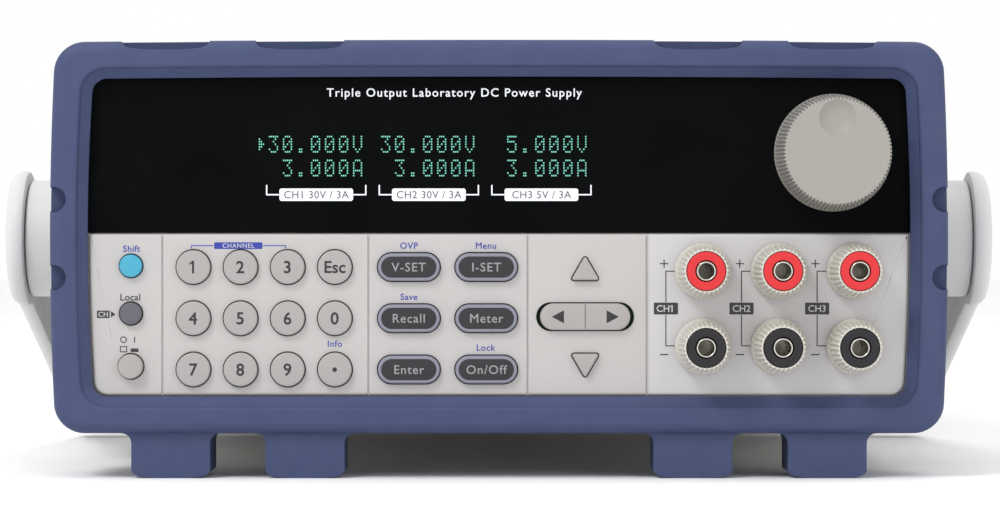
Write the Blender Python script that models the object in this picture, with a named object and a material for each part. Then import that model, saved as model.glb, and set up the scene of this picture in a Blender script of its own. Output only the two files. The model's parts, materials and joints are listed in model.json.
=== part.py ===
"""A half-rack bench power supply with three outputs, as separate pieces, in metres.

+Z is up and the front faces -Y. The feet rest on z = 0, and x = y = 0 is the middle of the whole object.
"""

import math

import bmesh
import bpy
from mathutils import Matrix, Vector

MM = 0.001

# Fits and facets.
GAP = 0.3 * MM
ROUND_STEPS = 16
# Corner radius of a round-ended key, as a share of its height.
ROUND_END = 0.49

# Case: the sheet-metal box between the front panel and the rear panel.
CASE_W = 214.5 * MM
CASE_H = 88.2 * MM
CASE_D = 354.6 * MM
CASE_CORNER = 3.0 * MM
SHEET = 1.2 * MM
REAR_SHEET = 1.5 * MM
FLANGE_H = 12.0 * MM
VENT_COUNT = 9
VENT_PITCH = 9.0 * MM
VENT_W = 3.0 * MM
VENT_H = 34.0 * MM

# Rubber bumpers round both ends of the case, with their feet.
BUMPER_SIDE = 5.7 * MM
BUMPER_TOP = 5.1 * MM
BUMPER_WRAP = 28.0 * MM
BUMPER_OUT = 4.5 * MM
BUMPER_CORNER = 7.3 * MM
BUMPER_EDGE = 3.0 * MM
SIDE_BOW = 1.4 * MM
TOP_BOW = 0.6 * MM
OPENING_SIDE = 3.7 * MM
OPENING_TOP = 4.1 * MM
OPENING_CORNER = 3.4 * MM
LIP_SLOPE = 2.3 * MM
FOOT_H = 11.3 * MM
FOOT_W = 19.8 * MM
FOOT_D = 20.0 * MM
FOOT_FLAT = 4.0 * MM
FOOT_SAG = 1.0 * MM
FOOT_FLARE = 2.5 * MM
FOOT_X = (48.8 * MM, 82.6 * MM)
POCKET_W = 22.4 * MM
POCKET_DEEP = 2.6 * MM
POCKET_SAG = 1.1 * MM
POCKET_D = 8.0 * MM
POCKET_SHIFT = 1.0 * MM
NOTCH_Z = (-10.0 * MM, 9.6 * MM)
NOTCH_H = 6.4 * MM
NOTCH_DEEP = 1.15 * MM
NOTCH_D = 5.0 * MM

# Front panel, with the display window let into its upper half.
PANEL_T = 5.0 * MM
PANEL_SKIRT = 14.0 * MM
PANEL_WALL = 2.0 * MM
LEDGE_Z = 1.0 * MM
LEDGE = 1.0 * MM
WINDOW_T = 2.0 * MM
WINDOW_RIM = 3.0 * MM
GROOVE_X = (-84.8 * MM, -32.9 * MM, 7.2 * MM, 37.6 * MM)
GROOVE_W = 0.5 * MM
GROOVE_DEEP = 0.4 * MM
DISPLAY_X = (-66.0 * MM, 28.0 * MM)
DISPLAY_Z = (5.0 * MM, 33.0 * MM)
DISPLAY_D = 9.0 * MM

# Keys. Each one is a cap through the panel with a flange behind it.
KEY_OUT = 1.6 * MM
KEY_TRAVEL = 0.9 * MM
KEY_GAP = 0.3 * MM
KEY_FLANGE = 0.8 * MM
KEY_EDGE = 0.5 * MM
PAD_X = -76.95 * MM
PAD_PITCH_X = 11.87 * MM
ROW_Z = -7.4 * MM
ROW_PITCH = 12.9 * MM
PAD_KEY = 8.5 * MM
PAD_NAMES = (("1", "2", "3", "escape"), ("4", "5", "6", "0"), ("7", "8", "9", "point"))
OVAL_X = -22.7 * MM
OVAL_PITCH = 19.5 * MM
OVAL_W = 15.6 * MM
OVAL_H = 7.0 * MM
OVAL_NAMES = (("voltage", "current"), ("recall", "meter"), ("enter", "output"))
ARROW_X = 21.7 * MM
ARROW_Z = (-7.6 * MM, -32.3 * MM)
ARROW_W = 7.2 * MM
ARROW_H = 6.2 * MM
ROCKER_Z = -19.9 * MM
ROCKER_W = 22.7 * MM
ROCKER_H = 6.7 * MM
ROCKER_ROOM = 1.0 * MM
SIDE_KEY_X = -92.7 * MM
SIDE_KEYS = (("shift", -7.1 * MM, 5.7 * MM), ("local", -19.1 * MM, 5.6 * MM))
POWER_Z = -32.4 * MM
POWER_KEY = 6.2 * MM
POWER_OUT = 2.6 * MM
POWER_TRAVEL = 2.0 * MM
POWER_ROD = 3.0 * MM
SWITCH = 13.0 * MM

# Knob and its encoder.
KNOB_X = 84.1 * MM
KNOB_Z = 21.4 * MM
KNOB_BASE = 29.6 * MM
KNOB_FACE = 26.8 * MM
KNOB_H = 14.0 * MM
KNOB_FLUTES = 40
KNOB_FLUTE = 0.35 * MM
KNOB_EDGE = 0.8 * MM
DIMPLE_UP = 7.8 * MM
DIMPLE_R = 6.0 * MM
DIMPLE_DEEP = 1.7 * MM
SHAFT = 6.0 * MM
SHAFT_IN_KNOB = 9.0 * MM
BUSH = 9.0 * MM
ENCODER = 13.0 * MM
ENCODER_D = 7.0 * MM

# Binding posts: three columns, the upper row positive and the lower row negative.
POST_X = 70.4 * MM
POST_Z = -17.85 * MM
POST_PITCH = 19.05 * MM
POST_OUT = 15.5 * MM
POST_TUBE = 4.8 * MM
POST_BORE = 4.0 * MM
POST_BORE_D = 17.0 * MM
NUT_BASE = 14.1 * MM
NUT_FACE = 11.9 * MM
NUT_SKIRT = 3.0 * MM
NUT_STEPS = 20
NUT_FLUTE = 0.4 * MM
RING = 9.7 * MM
RING_D = 3.0 * MM
BLOCK_W = 58.0 * MM
BLOCK_H = 38.0 * MM
BLOCK_D = 12.0 * MM

# Carrying handle and the hubs that it turns on.
PIVOT_BACK = 65.0 * MM
HUB = 31.2 * MM
HUB_OUT = 18.5 * MM
HUB_BORE = 12.0 * MM
HUB_FLOOR = 4.0 * MM
HUB_EDGE = 1.0 * MM
PLATE_T = 4.8 * MM
PLATE_DISC = 36.0 * MM
ARM_W = 30.0 * MM
ARM_END_W = 15.0 * MM
ARM_L = 148.0 * MM
ARM_DROP = math.radians(20.4)
GRIP = 13.0 * MM
STUB_GAP = 1.0 * MM

# Inside and at the back.
BOARD_T = 1.6 * MM
BOARD_EDGE = 4.0 * MM
BOARD_BACK = 149.0 * MM
STANDOFF = 6.0 * MM
CORE_W = 77.0 * MM
CORE_D = 64.0 * MM
CORE_H = 58.0 * MM
CORE_BACK = 85.0 * MM
WINDING_W = 46.0 * MM
WINDING_D = 84.0 * MM
WINDING_H = 37.0 * MM
SINK_X = -82.0 * MM
SINK_H = 48.0 * MM
SINK_D = 106.0 * MM
SINK_BASE = 5.0 * MM
FIN_COUNT = 9
FIN_T = 1.6 * MM
FIN_SPACE = 5.4 * MM
FAN = 80.0 * MM
FAN_D = 20.0 * MM
FAN_CORNER = 3.0 * MM
FAN_DUCT = 76.0 * MM
FAN_X = -58.0 * MM
FAN_HUB = 34.0 * MM
FAN_STRUT = 6.0 * MM
FAN_STRUT_D = 3.0 * MM
FAN_BLADES = 7
BLADE_T = 2.0 * MM
BLADE_SUNK = 2.0 * MM
BLADE_CLEAR = 1.5 * MM
# The blade's chord as a share of the rotor's depth, and its pitch at the root and at the tip.
BLADE_CHORD = 0.72
BLADE_PITCH = (math.radians(50), math.radians(32))
GRILLE_BARS = 7
GRILLE_PITCH = 9.0 * MM
GRILLE_SLOT = 6.0 * MM
INLET_X = 84.0 * MM
INLET_Z = -24.0 * MM
INLET_W = 31.0 * MM
INLET_H = 24.0 * MM
INLET_D = 30.0 * MM
CAVITY_W = 24.0 * MM
CAVITY_H = 16.4 * MM
CAVITY_D = 22.0 * MM
CAVITY_CORNER = 5.0 * MM
PIN_L = 15.0 * MM
PIN_W = 2.0 * MM
PIN_H = 4.0 * MM
PIN_X = 7.0 * MM
PIN_Z = 2.0 * MM
PORTS_X = 16.0 * MM
PORTS_Z = 16.0 * MM
PORTS_W = 50.0 * MM
PORTS_H = 18.0 * MM
PORTS_D = 20.0 * MM
PORT_DEEP = 12.0 * MM
NETWORK_W = 13.0 * MM
NETWORK_H = 11.0 * MM
SERIAL_W = 9.0 * MM
SERIAL_H = 8.0 * MM

# Levels and planes that follow from the sizes above.
MID_Z = FOOT_H + BUMPER_TOP + CASE_H / 2
FRONT_Y = POST_OUT - (POST_OUT + CASE_D + BUMPER_OUT) / 2
REAR_Y = FRONT_Y + CASE_D
WINDOW_Y = FRONT_Y + LEDGE
PANEL_BACK = FRONT_Y + PANEL_T
FLOOR_Z = MID_Z - CASE_H / 2 + SHEET
KEY_BACK = PANEL_BACK + GAP + KEY_FLANGE
BOARD_Y = KEY_BACK + KEY_TRAVEL + GAP
SIDE_X = CASE_W / 2
PLATE_X = SIDE_X + HUB_OUT
PIVOT = Vector((0, FRONT_Y - BUMPER_OUT + PIVOT_BACK, MID_Z))


# Outlines: lists of (u, v) points, counter-clockwise.
def circle(diameter, steps=ROUND_STEPS):
    angles = [math.tau * i / steps for i in range(steps)]
    return [(diameter / 2 * math.cos(a), diameter / 2 * math.sin(a)) for a in angles]


def rounded(width, height, radius, corner_steps=3, splits=1):
    """A rectangle with round corners, its straight stretches split evenly."""
    corners = []
    for index, (side_u, side_v) in enumerate(((1, -1), (1, 1), (-1, 1), (-1, -1))):
        for step in range(corner_steps + 1):
            angle = math.pi / 2 * (index - 1 + step / corner_steps)
            u = side_u * (width / 2 - radius) + radius * math.cos(angle)
            v = side_v * (height / 2 - radius) + radius * math.sin(angle)
            corners.append((u, v))
    points = []
    for index, (u, v) in enumerate(corners):
        points.append((u, v))
        if index % (corner_steps + 1) == corner_steps:
            next_u, next_v = corners[(index + 1) % len(corners)]
            for k in range(1, splits):
                share = k / splits
                points.append((u + (next_u - u) * share, v + (next_v - v) * share))
    return points


def rect(width, height):
    u, v = width / 2, height / 2
    return [(u, -v), (u, v), (-u, v), (-u, -v)]


def fluted(diameter, depth, steps):
    """A circle whose every other point lies deeper, as on a fluted grip."""
    points = circle(diameter, steps)
    inner = 1 - 2 * depth / diameter
    return [(u * inner, v * inner) if i % 2 else (u, v) for i, (u, v) in enumerate(points)]


# Sections: an outline put at a distance along an axis.
def along_y(outline, y, x=0.0, z=0.0):
    return [Vector((x + u, y, z + v)) for u, v in outline]


def along_x(outline, x, y=0.0, z=0.0):
    return [Vector((x, y + u, z + v)) for u, v in outline]


# Solids.
def loft(sections, ring=False):
    """A closed solid through sections of equal length: capped at its ends, or a ring that meets itself."""
    bm = bmesh.new()
    loops = [[bm.verts.new(point) for point in section] for section in sections]
    followers = loops[1:] + loops[:1] if ring else loops[1:]
    for near, far in zip(loops, followers):
        for i in range(len(near)):
            j = (i + 1) % len(near)
            bm.faces.new((near[i], near[j], far[j], far[i]))
    if not ring:
        bm.faces.new(loops[0])
        bm.faces.new(loops[-1][::-1])
    bmesh.ops.recalc_face_normals(bm, faces=bm.faces)
    return bm


def box(x0, x1, y0, y1, z0, z1):
    outline = rect(x1 - x0, z1 - z0)
    middle_x, middle_z = (x0 + x1) / 2, (z0 + z1) / 2
    return loft([along_y(outline, y0, middle_x, middle_z), along_y(outline, y1, middle_x, middle_z)])


def prism(outline, y0, y1, x=0.0, z=0.0):
    return loft([along_y(outline, y0, x, z), along_y(outline, y1, x, z)])


def turned(profile, x, z, steps=ROUND_STEPS, ring=False):
    """A turned solid on an axis along Y through (x, z); the profile is (diameter, y) points."""
    return loft([along_y(circle(d, steps), y, x, z) for d, y in profile], ring)


def joined(solids):
    """One mesh that holds several solids which don't touch, such as a set of cutters."""
    whole = bmesh.new()
    for bm in solids:
        mesh = bpy.data.meshes.new("part")
        bm.to_mesh(mesh)
        bm.free()
        whole.from_mesh(mesh)
        bpy.data.meshes.remove(mesh)
    return whole


# Objects and materials.
def make_material(name, colour, roughness, metallic=0.0):
    material = bpy.data.materials.new(name)
    material.use_nodes = True
    shader = material.node_tree.nodes["Principled BSDF"]
    shader.inputs["Base Color"].default_value = (*colour, 1.0)
    shader.inputs["Roughness"].default_value = roughness
    shader.inputs["Metallic"].default_value = metallic
    return material


def add(name, bm, material, origin=(0, 0, 0)):
    """An object from a mesh in world places, with its origin moved to where it turns or slides."""
    mesh = bpy.data.meshes.new(name)
    bm.to_mesh(mesh)
    bm.free()
    mesh.transform(Matrix.Translation(-Vector(origin)))
    mesh.shade_smooth()
    mesh.set_sharp_from_angle(angle=math.radians(35))
    look, colour, roughness, metallic = material
    mesh.materials.append(make_material(f"{name}_{look}", colour, roughness, metallic))
    obj = bpy.data.objects.new(name, mesh)
    obj.location = origin
    bpy.context.scene.collection.objects.link(obj)
    return obj


def change(obj, bm, operation):
    """Cuts a solid from an object, or unites one with it, with a Boolean modifier."""
    tool = add(f"{obj.name}_{operation.lower()}_{len(obj.modifiers)}", bm, RUBBER)
    tool.hide_render = True
    tool.display_type = "WIRE"
    modifier = obj.modifiers.new(tool.name, "BOOLEAN")
    modifier.operation = operation
    modifier.solver = "EXACT"
    modifier.object = tool


def cut(obj, *solids):
    change(obj, joined(solids), "DIFFERENCE")


def unite(obj, *solids):
    change(obj, joined(solids), "UNION")


RUBBER = ("rubber", (0.062, 0.078, 0.167), 0.62, 0.0)
PANEL_GREY = ("panel_plastic", (0.56, 0.55, 0.54), 0.5, 0.0)
KEY_GREY = ("key_plastic", (0.49, 0.47, 0.46), 0.5, 0.0)
KEY_DARK = ("dark_key", (0.04, 0.04, 0.05), 0.5, 0.0)
KEY_BLUE = ("blue_key", (0.07, 0.45, 0.66), 0.45, 0.0)
BLACK_GLOSS = ("window_acrylic", (0.004, 0.004, 0.005), 0.12, 0.0)
CREAM = ("cream_plastic", (0.53, 0.5, 0.48), 0.5, 0.0)
RED = ("red_plastic", (0.83, 0.07, 0.07), 0.4, 0.0)
BLACK = ("black_plastic", (0.03, 0.03, 0.033), 0.45, 0.0)
CASE_PAINT = ("case_paint", (0.45, 0.45, 0.46), 0.5, 0.2)
HANDLE_GREY = ("handle_plastic", (0.42, 0.42, 0.45), 0.5, 0.0)
STEEL = ("zinc_steel", (0.6, 0.6, 0.58), 0.4, 1.0)
ALUMINIUM = ("aluminium", (0.75, 0.75, 0.76), 0.35, 1.0)
BOARD_GREEN = ("circuit_board", (0.03, 0.16, 0.07), 0.5, 0.0)
NICKEL = ("nickel", (0.7, 0.69, 0.66), 0.3, 1.0)


# Bumpers.
def bowed(width, height, radius):
    """A rounded rectangle whose sides and top swell a little outward."""
    points = []
    for u, v in rounded(width, height, radius, 4, 5):
        side = 1 + 2 * SIDE_BOW / width * (1 - (2 * v / height) ** 2)
        top = 1 + 2 * TOP_BOW / height * (1 - (2 * u / width) ** 2)
        points.append((u * side, v * top if v > 0 else v))
    return points


def arc_bottom(width, flat, sag, deep):
    """Five facets of a sagging arc, from the left end to the right; the middle one is flat and lowest."""
    half, inner = width / 2, flat / 2
    middle = (half + inner) / 2
    quarter = sag * ((middle - inner) / (half - inner)) ** 2
    left = [(-half, sag), (-middle, quarter), (-inner, 0.0)]
    right = [(inner, 0.0), (middle, quarter), (half, sag)]
    return [(u, v - deep) for u, v in left + right]


def foot(x, y0, y1):
    """One foot, flared where it meets the bumper."""
    root = FOOT_W / 2 + FOOT_FLARE
    outline = arc_bottom(FOOT_W, FOOT_FLAT, FOOT_SAG, 0.0)
    outline += [(FOOT_W / 2, FOOT_H - FOOT_FLARE), (root - FOOT_FLARE * 0.6, FOOT_H - FOOT_FLARE * 0.3)]
    outline += [(root, FOOT_H + GAP), (root, FOOT_H + BUMPER_TOP / 3)]
    outline += [(-u, v) for u, v in outline[:5:-1]]
    return prism(outline, y0, y1, x)


def pocket(x, y0, y1):
    """The cutter of a stacking recess in the top."""
    top = MID_Z + CASE_H / 2 + BUMPER_TOP + TOP_BOW
    outline = arc_bottom(POCKET_W, FOOT_FLAT, POCKET_SAG, POCKET_DEEP)
    outline += [(POCKET_W / 2, BUMPER_TOP), (-POCKET_W / 2, BUMPER_TOP)]
    return prism(outline, y0, y1, x, top)


def bumper(name, face_y, panel_y, inward):
    """A rubber frame round one end of the case. inward is +1 where the case lies at higher y."""
    width = CASE_W + 2 * (BUMPER_SIDE - SIDE_BOW)
    height = CASE_H + 2 * BUMPER_TOP
    wrap_y = panel_y + inward * BUMPER_WRAP

    def section(grow, y, corner):
        return along_y(bowed(width + 2 * grow, height + 2 * grow, corner + grow), y, 0, MID_Z)

    sections = []
    for angle in (90, 60, 30, 0):
        inset = BUMPER_EDGE * (1 - math.sin(math.radians(angle)))
        back = BUMPER_EDGE * (1 - math.cos(math.radians(angle)))
        sections.append(section(-inset, face_y + inward * back, BUMPER_CORNER))
    opening_w = CASE_W - 2 * OPENING_SIDE - 2 * SIDE_BOW
    opening_h = CASE_H - 2 * OPENING_TOP
    lip_y = panel_y - inward * GAP
    for grow, y in ((LIP_SLOPE, face_y), (0, lip_y - inward * BUMPER_OUT / 3), (0, lip_y)):
        outline = bowed(opening_w + 2 * grow, opening_h + 2 * grow, OPENING_CORNER + grow)
        sections.append(along_y(outline, y, 0, MID_Z))
    hollow = rounded(CASE_W + 2 * GAP, CASE_H + 2 * GAP, CASE_CORNER + GAP, 4, 5)
    sections.append(along_y(hollow, lip_y, 0, MID_Z))
    sections.append(along_y(hollow, wrap_y, 0, MID_Z))
    sections.append(section(-GAP, wrap_y, BUMPER_CORNER))
    obj = add(name, loft(sections, ring=True), RUBBER)
    foot_ys = sorted((face_y + inward * BUMPER_EDGE, face_y + inward * (BUMPER_EDGE + FOOT_D)))
    unite(obj, *[foot(side * x, *foot_ys) for x in FOOT_X for side in (-1, 1)])
    pocket_ys = sorted((face_y - inward * BUMPER_OUT, face_y + inward * POCKET_D))
    cut(obj, *[pocket(side * (x + POCKET_SHIFT), *pocket_ys) for x in FOOT_X for side in (-1, 1)])
    notch_ys = sorted((face_y - inward * BUMPER_OUT, face_y + inward * NOTCH_D))
    side_x = SIDE_X + BUMPER_SIDE - NOTCH_DEEP
    scoops = []
    for x in (-side_x, side_x):
        for z in NOTCH_Z:
            scoops.append(prism(circle(NOTCH_H, 12), *notch_ys, x, MID_Z + z))
    cut(obj, *scoops)


# Case.
def build_case():
    """The sheet-metal floor, the cover over it and the back, each ending a gap short of its neighbours."""
    low = MID_Z - CASE_H / 2
    y0, y1 = FRONT_Y + PANEL_SKIRT + GAP, REAR_Y - REAR_SHEET - GAP
    outer = rounded(CASE_W, CASE_H, CASE_CORNER)
    inner = rounded(CASE_W - 2 * SHEET, CASE_H - 2 * SHEET, CASE_CORNER - SHEET)
    top = [point for point in outer if point[1] > 0]
    under = [point for point in inner if point[1] > 0][::-1]
    edge = CASE_CORNER - CASE_H / 2
    left_edge = [(-SIDE_X, edge), (-SIDE_X + SHEET, edge)]
    section = [(SIDE_X, edge)] + top + left_edge + under + [(SIDE_X - SHEET, edge)]
    cover = add("top_cover", prism(section, y0, y1, 0, MID_Z), CASE_PAINT)
    vents = []
    for side in (-1, 1):
        x = side * (SIDE_X - SHEET / 2)
        for i in range(VENT_COUNT):
            y = PIVOT.y + HUB + i * VENT_PITCH
            vents.append(box(x - SHEET, x + SHEET, y, y + VENT_W, MID_Z - VENT_H / 2, MID_Z + VENT_H / 2))
    cut(cover, *vents)

    half = SIDE_X - SHEET - GAP
    section = [(half - CASE_CORNER, low), (half, low + CASE_CORNER), (half, low + FLANGE_H)]
    section += [(half - SHEET, low + FLANGE_H), (half - SHEET, low + CASE_CORNER + SHEET / 2)]
    section += [(half - CASE_CORNER - SHEET / 2, low + SHEET)]
    section += [(-u, v) for u, v in section[::-1]]
    add("base_chassis", prism(section, y0, y1), STEEL)

    rear = add("rear_panel", prism(outer, REAR_Y - REAR_SHEET, REAR_Y, 0, MID_Z), CASE_PAINT)
    past = (REAR_Y - 2 * REAR_SHEET, REAR_Y + REAR_SHEET)
    slots = []
    for i in range(GRILLE_BARS):
        v = (i - (GRILLE_BARS - 1) / 2) * GRILLE_PITCH
        reach = math.sqrt((FAN_DUCT / 2) ** 2 - (abs(v) + GRILLE_SLOT / 2) ** 2)
        slot = rounded(2 * reach, GRILLE_SLOT, GRILLE_SLOT / 2 - GAP)
        slots.append(prism(slot, *past, FAN_X, MID_Z + v))
    cut(rear, *slots)
    inlet_hole = rect(INLET_W + 2 * GAP, INLET_H + 2 * GAP)
    ports_hole = rect(PORTS_W + 2 * GAP, PORTS_H + 2 * GAP)
    cut(rear, prism(inlet_hole, *past, INLET_X, MID_Z + INLET_Z))
    cut(rear, prism(ports_hole, *past, PORTS_X, MID_Z + PORTS_Z))


# Front panel. Every hole is a key's own outline grown by the gap.
def grown(outline, by):
    """The outline moved outward by a distance, corner by corner."""
    count = len(outline)
    moved = []
    for i, (u, v) in enumerate(outline):
        before, after = Vector(outline[i - 1]), Vector(outline[(i + 1) % count])
        here = Vector((u, v))
        first, second = (here - before).normalized(), (after - here).normalized()
        normal = Vector((first.y, -first.x)) + Vector((second.y, -second.x))
        moved.append(tuple(here + normal * (2 * by / normal.length_squared)))
    return moved


def triangle(width, height, up):
    sign = 1 if up else -1
    corners = [(-width / 2, -sign * height / 2), (width / 2, -sign * height / 2), (0.0, sign * height / 2)]
    return corners if up else corners[::-1]


def keys():
    """Every key as (name, outline, x, z, material, how far it stands out, its travel)."""
    rows = [ROW_Z - i * ROW_PITCH for i in range(3)]
    found = []
    for z, names in zip(rows, PAD_NAMES):
        for column, name in enumerate(names):
            x = PAD_X + column * PAD_PITCH_X
            found.append((f"key_{name}", circle(PAD_KEY), x, z, KEY_GREY, KEY_OUT, KEY_TRAVEL))
    for z, names in zip(rows, OVAL_NAMES):
        for column, name in enumerate(names):
            x = OVAL_X + column * OVAL_PITCH
            oval = rounded(OVAL_W, OVAL_H, OVAL_H * ROUND_END, 4)
            found.append((f"key_{name}", oval, x, z, KEY_DARK, KEY_OUT, KEY_TRAVEL))
    for name, z, up in (("up", ARROW_Z[0], True), ("down", ARROW_Z[1], False)):
        arrow = triangle(ARROW_W, ARROW_H, up)
        found.append((f"key_{name}", arrow, ARROW_X, z, KEY_GREY, KEY_OUT, KEY_TRAVEL))
    for (name, z, size), look in zip(SIDE_KEYS, (KEY_BLUE, KEY_DARK)):
        found.append((f"key_{name}", circle(size), SIDE_KEY_X, z, look, KEY_OUT, KEY_TRAVEL))
    return found


def posts():
    """Every binding post as (name, x, z, ring colour)."""
    found = []
    for column in range(3):
        x = POST_X + (column - 1) * POST_PITCH
        for sign, side, look in (("positive", 0.5, RED), ("negative", -0.5, BLACK)):
            found.append((f"{sign}_{column + 1}", x, MID_Z + POST_Z + side * POST_PITCH, look))
    return found


def build_front_panel():
    """A moulded tray: a plate with a skirt behind it, the window's recess and a hole for each piece."""
    outer = rounded(CASE_W, CASE_H, CASE_CORNER)
    inner = rounded(CASE_W - 2 * PANEL_WALL, CASE_H - 2 * PANEL_WALL, CASE_CORNER - PANEL_WALL)
    skirt_y = FRONT_Y + PANEL_SKIRT
    places = ((outer, FRONT_Y), (outer, skirt_y), (inner, skirt_y), (inner, PANEL_BACK))
    panel = add("front_panel", loft([along_y(outline, y, 0, MID_Z) for outline, y in places]), PANEL_GREY)

    half = CASE_W / 2 - WINDOW_RIM
    low, high = MID_Z + LEDGE_Z, MID_Z + CASE_H / 2 - WINDOW_RIM
    past = (FRONT_Y - PANEL_T, PANEL_BACK + PANEL_T)
    recess_y = WINDOW_Y + WINDOW_T + GAP
    cut(panel, box(-half, half, past[0], recess_y, low, high))
    bush_hole = [(BUSH + 2 * GAP, y) for y in past]
    glass_z = (MID_Z + z for z in DISPLAY_Z)
    cut(panel, box(*DISPLAY_X, recess_y - LEDGE, past[1], *glass_z))
    cut(panel, turned(bush_hole, KNOB_X, MID_Z + KNOB_Z))

    window = box(GAP - half, half - GAP, WINDOW_Y, WINDOW_Y + WINDOW_T, low + GAP, high - GAP)
    cut(add("display_window", window, BLACK_GLOSS), turned(bush_hole, KNOB_X, MID_Z + KNOB_Z))

    holes = [prism(grown(outline, KEY_GAP), *past, x, MID_Z + z) for _, outline, x, z, *_ in keys()]
    holes.append(prism(circle(POWER_KEY + 2 * KEY_GAP), *past, SIDE_KEY_X, MID_Z + POWER_Z))
    hole_h = ROCKER_H + 2 * KEY_GAP
    rocker_hole = rounded(ROCKER_W + 2 * ROCKER_ROOM, hole_h, hole_h * ROUND_END, 5)
    holes.append(prism(rocker_hole, *past, ARROW_X, MID_Z + ROCKER_Z))
    holes += [prism(circle(POST_TUBE + 2 * GAP), *past, x, z) for _, x, z, _ in posts()]
    cut(panel, *holes)
    foot_z = MID_Z - CASE_H / 2 + OPENING_TOP
    cut(panel, *[
        box(x - GROOVE_W / 2, x + GROOVE_W / 2, past[0], FRONT_Y + GROOVE_DEEP, foot_z, low + GAP)
        for x in GROOVE_X
    ])


# Keys.
def cap(outline, x, z, out, rod_y=None):
    """A key: its face with a rounded edge, its body through the panel, its flange and any rod behind it."""
    face_y = FRONT_Y - out
    flange_y = PANEL_BACK + GAP
    places = [
        (grown(outline, -KEY_EDGE), face_y),
        (outline, face_y + KEY_EDGE),
        (outline, flange_y),
        (grown(outline, 2 * KEY_GAP), flange_y),
        (grown(outline, 2 * KEY_GAP), KEY_BACK),
    ]
    if rod_y:
        rod = circle(POWER_ROD)
        places += [(rod, KEY_BACK), (rod, rod_y)]
    return loft([along_y(points, y, x, MID_Z + z) for points, y in places])


def build_keys():
    for name, outline, x, z, look, out, _ in keys():
        add(name, cap(outline, x, z, out), look, (x, FRONT_Y, MID_Z + z))
    rod_y = BOARD_Y + BOARD_T + POWER_TRAVEL
    power = cap(circle(POWER_KEY), SIDE_KEY_X, POWER_Z, POWER_OUT, rod_y)
    add("key_power", power, KEY_GREY, (SIDE_KEY_X, FRONT_Y, MID_Z + POWER_Z))

    face_y, pivot_y = FRONT_Y - KEY_OUT, FRONT_Y + PANEL_T / 2
    outline = rounded(ROCKER_W, ROCKER_H, ROCKER_H * ROUND_END, 5)
    places = ((grown(outline, -KEY_EDGE), face_y), (outline, face_y + KEY_EDGE), (outline, pivot_y))
    rocker = loft([along_y(points, y, ARROW_X, MID_Z + ROCKER_Z) for points, y in places])
    add("key_left_right", rocker, KEY_GREY, (ARROW_X, pivot_y, MID_Z + ROCKER_Z))


# Knob.
def build_knob():
    """The knob on its shaft, and the encoder that holds the shaft from behind the panel."""
    x, z = KNOB_X, MID_Z + KNOB_Z
    base_y = WINDOW_Y - 2 * GAP
    face_y = base_y - KNOB_H
    places = (
        (circle(KNOB_BASE, 2 * KNOB_FLUTES), base_y),
        (fluted(KNOB_BASE, KNOB_FLUTE, 2 * KNOB_FLUTES), base_y - KNOB_EDGE),
        (fluted(KNOB_FACE + KNOB_EDGE, KNOB_FLUTE, 2 * KNOB_FLUTES), face_y + KNOB_EDGE),
        (circle(KNOB_FACE - KNOB_EDGE, 2 * KNOB_FLUTES), face_y),
    )
    knob = add("knob", loft([along_y(points, y, x, z) for points, y in places]), KEY_GREY, (x, base_y, z))
    shaft_tip = base_y - SHAFT_IN_KNOB
    bore = ((SHAFT + 2 * GAP, shaft_tip - GAP), (SHAFT + 2 * GAP, base_y + GAP))
    rise = math.sqrt(DIMPLE_R ** 2 - (DIMPLE_R - DIMPLE_DEEP) ** 2)
    bowl = []
    for step in range(5):
        depth = DIMPLE_DEEP * (1 - step / 4) ** 2
        width = rise * math.sqrt(1 - depth / DIMPLE_DEEP) + GAP
        bowl.append((2 * width, face_y + depth))
    bowl.append((2 * rise, face_y - KNOB_EDGE))
    cut(knob, turned(bore, x, z), turned(bowl, x, z + DIMPLE_UP))

    bush_y = WINDOW_Y
    encoder_y = PANEL_BACK + GAP
    shaft = ((SHAFT, shaft_tip), (SHAFT, encoder_y + ENCODER_D + BOARD_T))
    add("encoder_shaft", turned(shaft, x, z), STEEL, (x, base_y, z))
    body = ((BUSH, bush_y), (BUSH, encoder_y), (ENCODER, encoder_y), (ENCODER, encoder_y + ENCODER_D))
    encoder = add("encoder_body", turned(body, x, z), ALUMINIUM)
    clear = SHAFT + 2 * GAP
    cut(encoder, turned(((clear, bush_y - GAP), (clear, encoder_y + 2 * ENCODER_D)), x, z))


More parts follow.
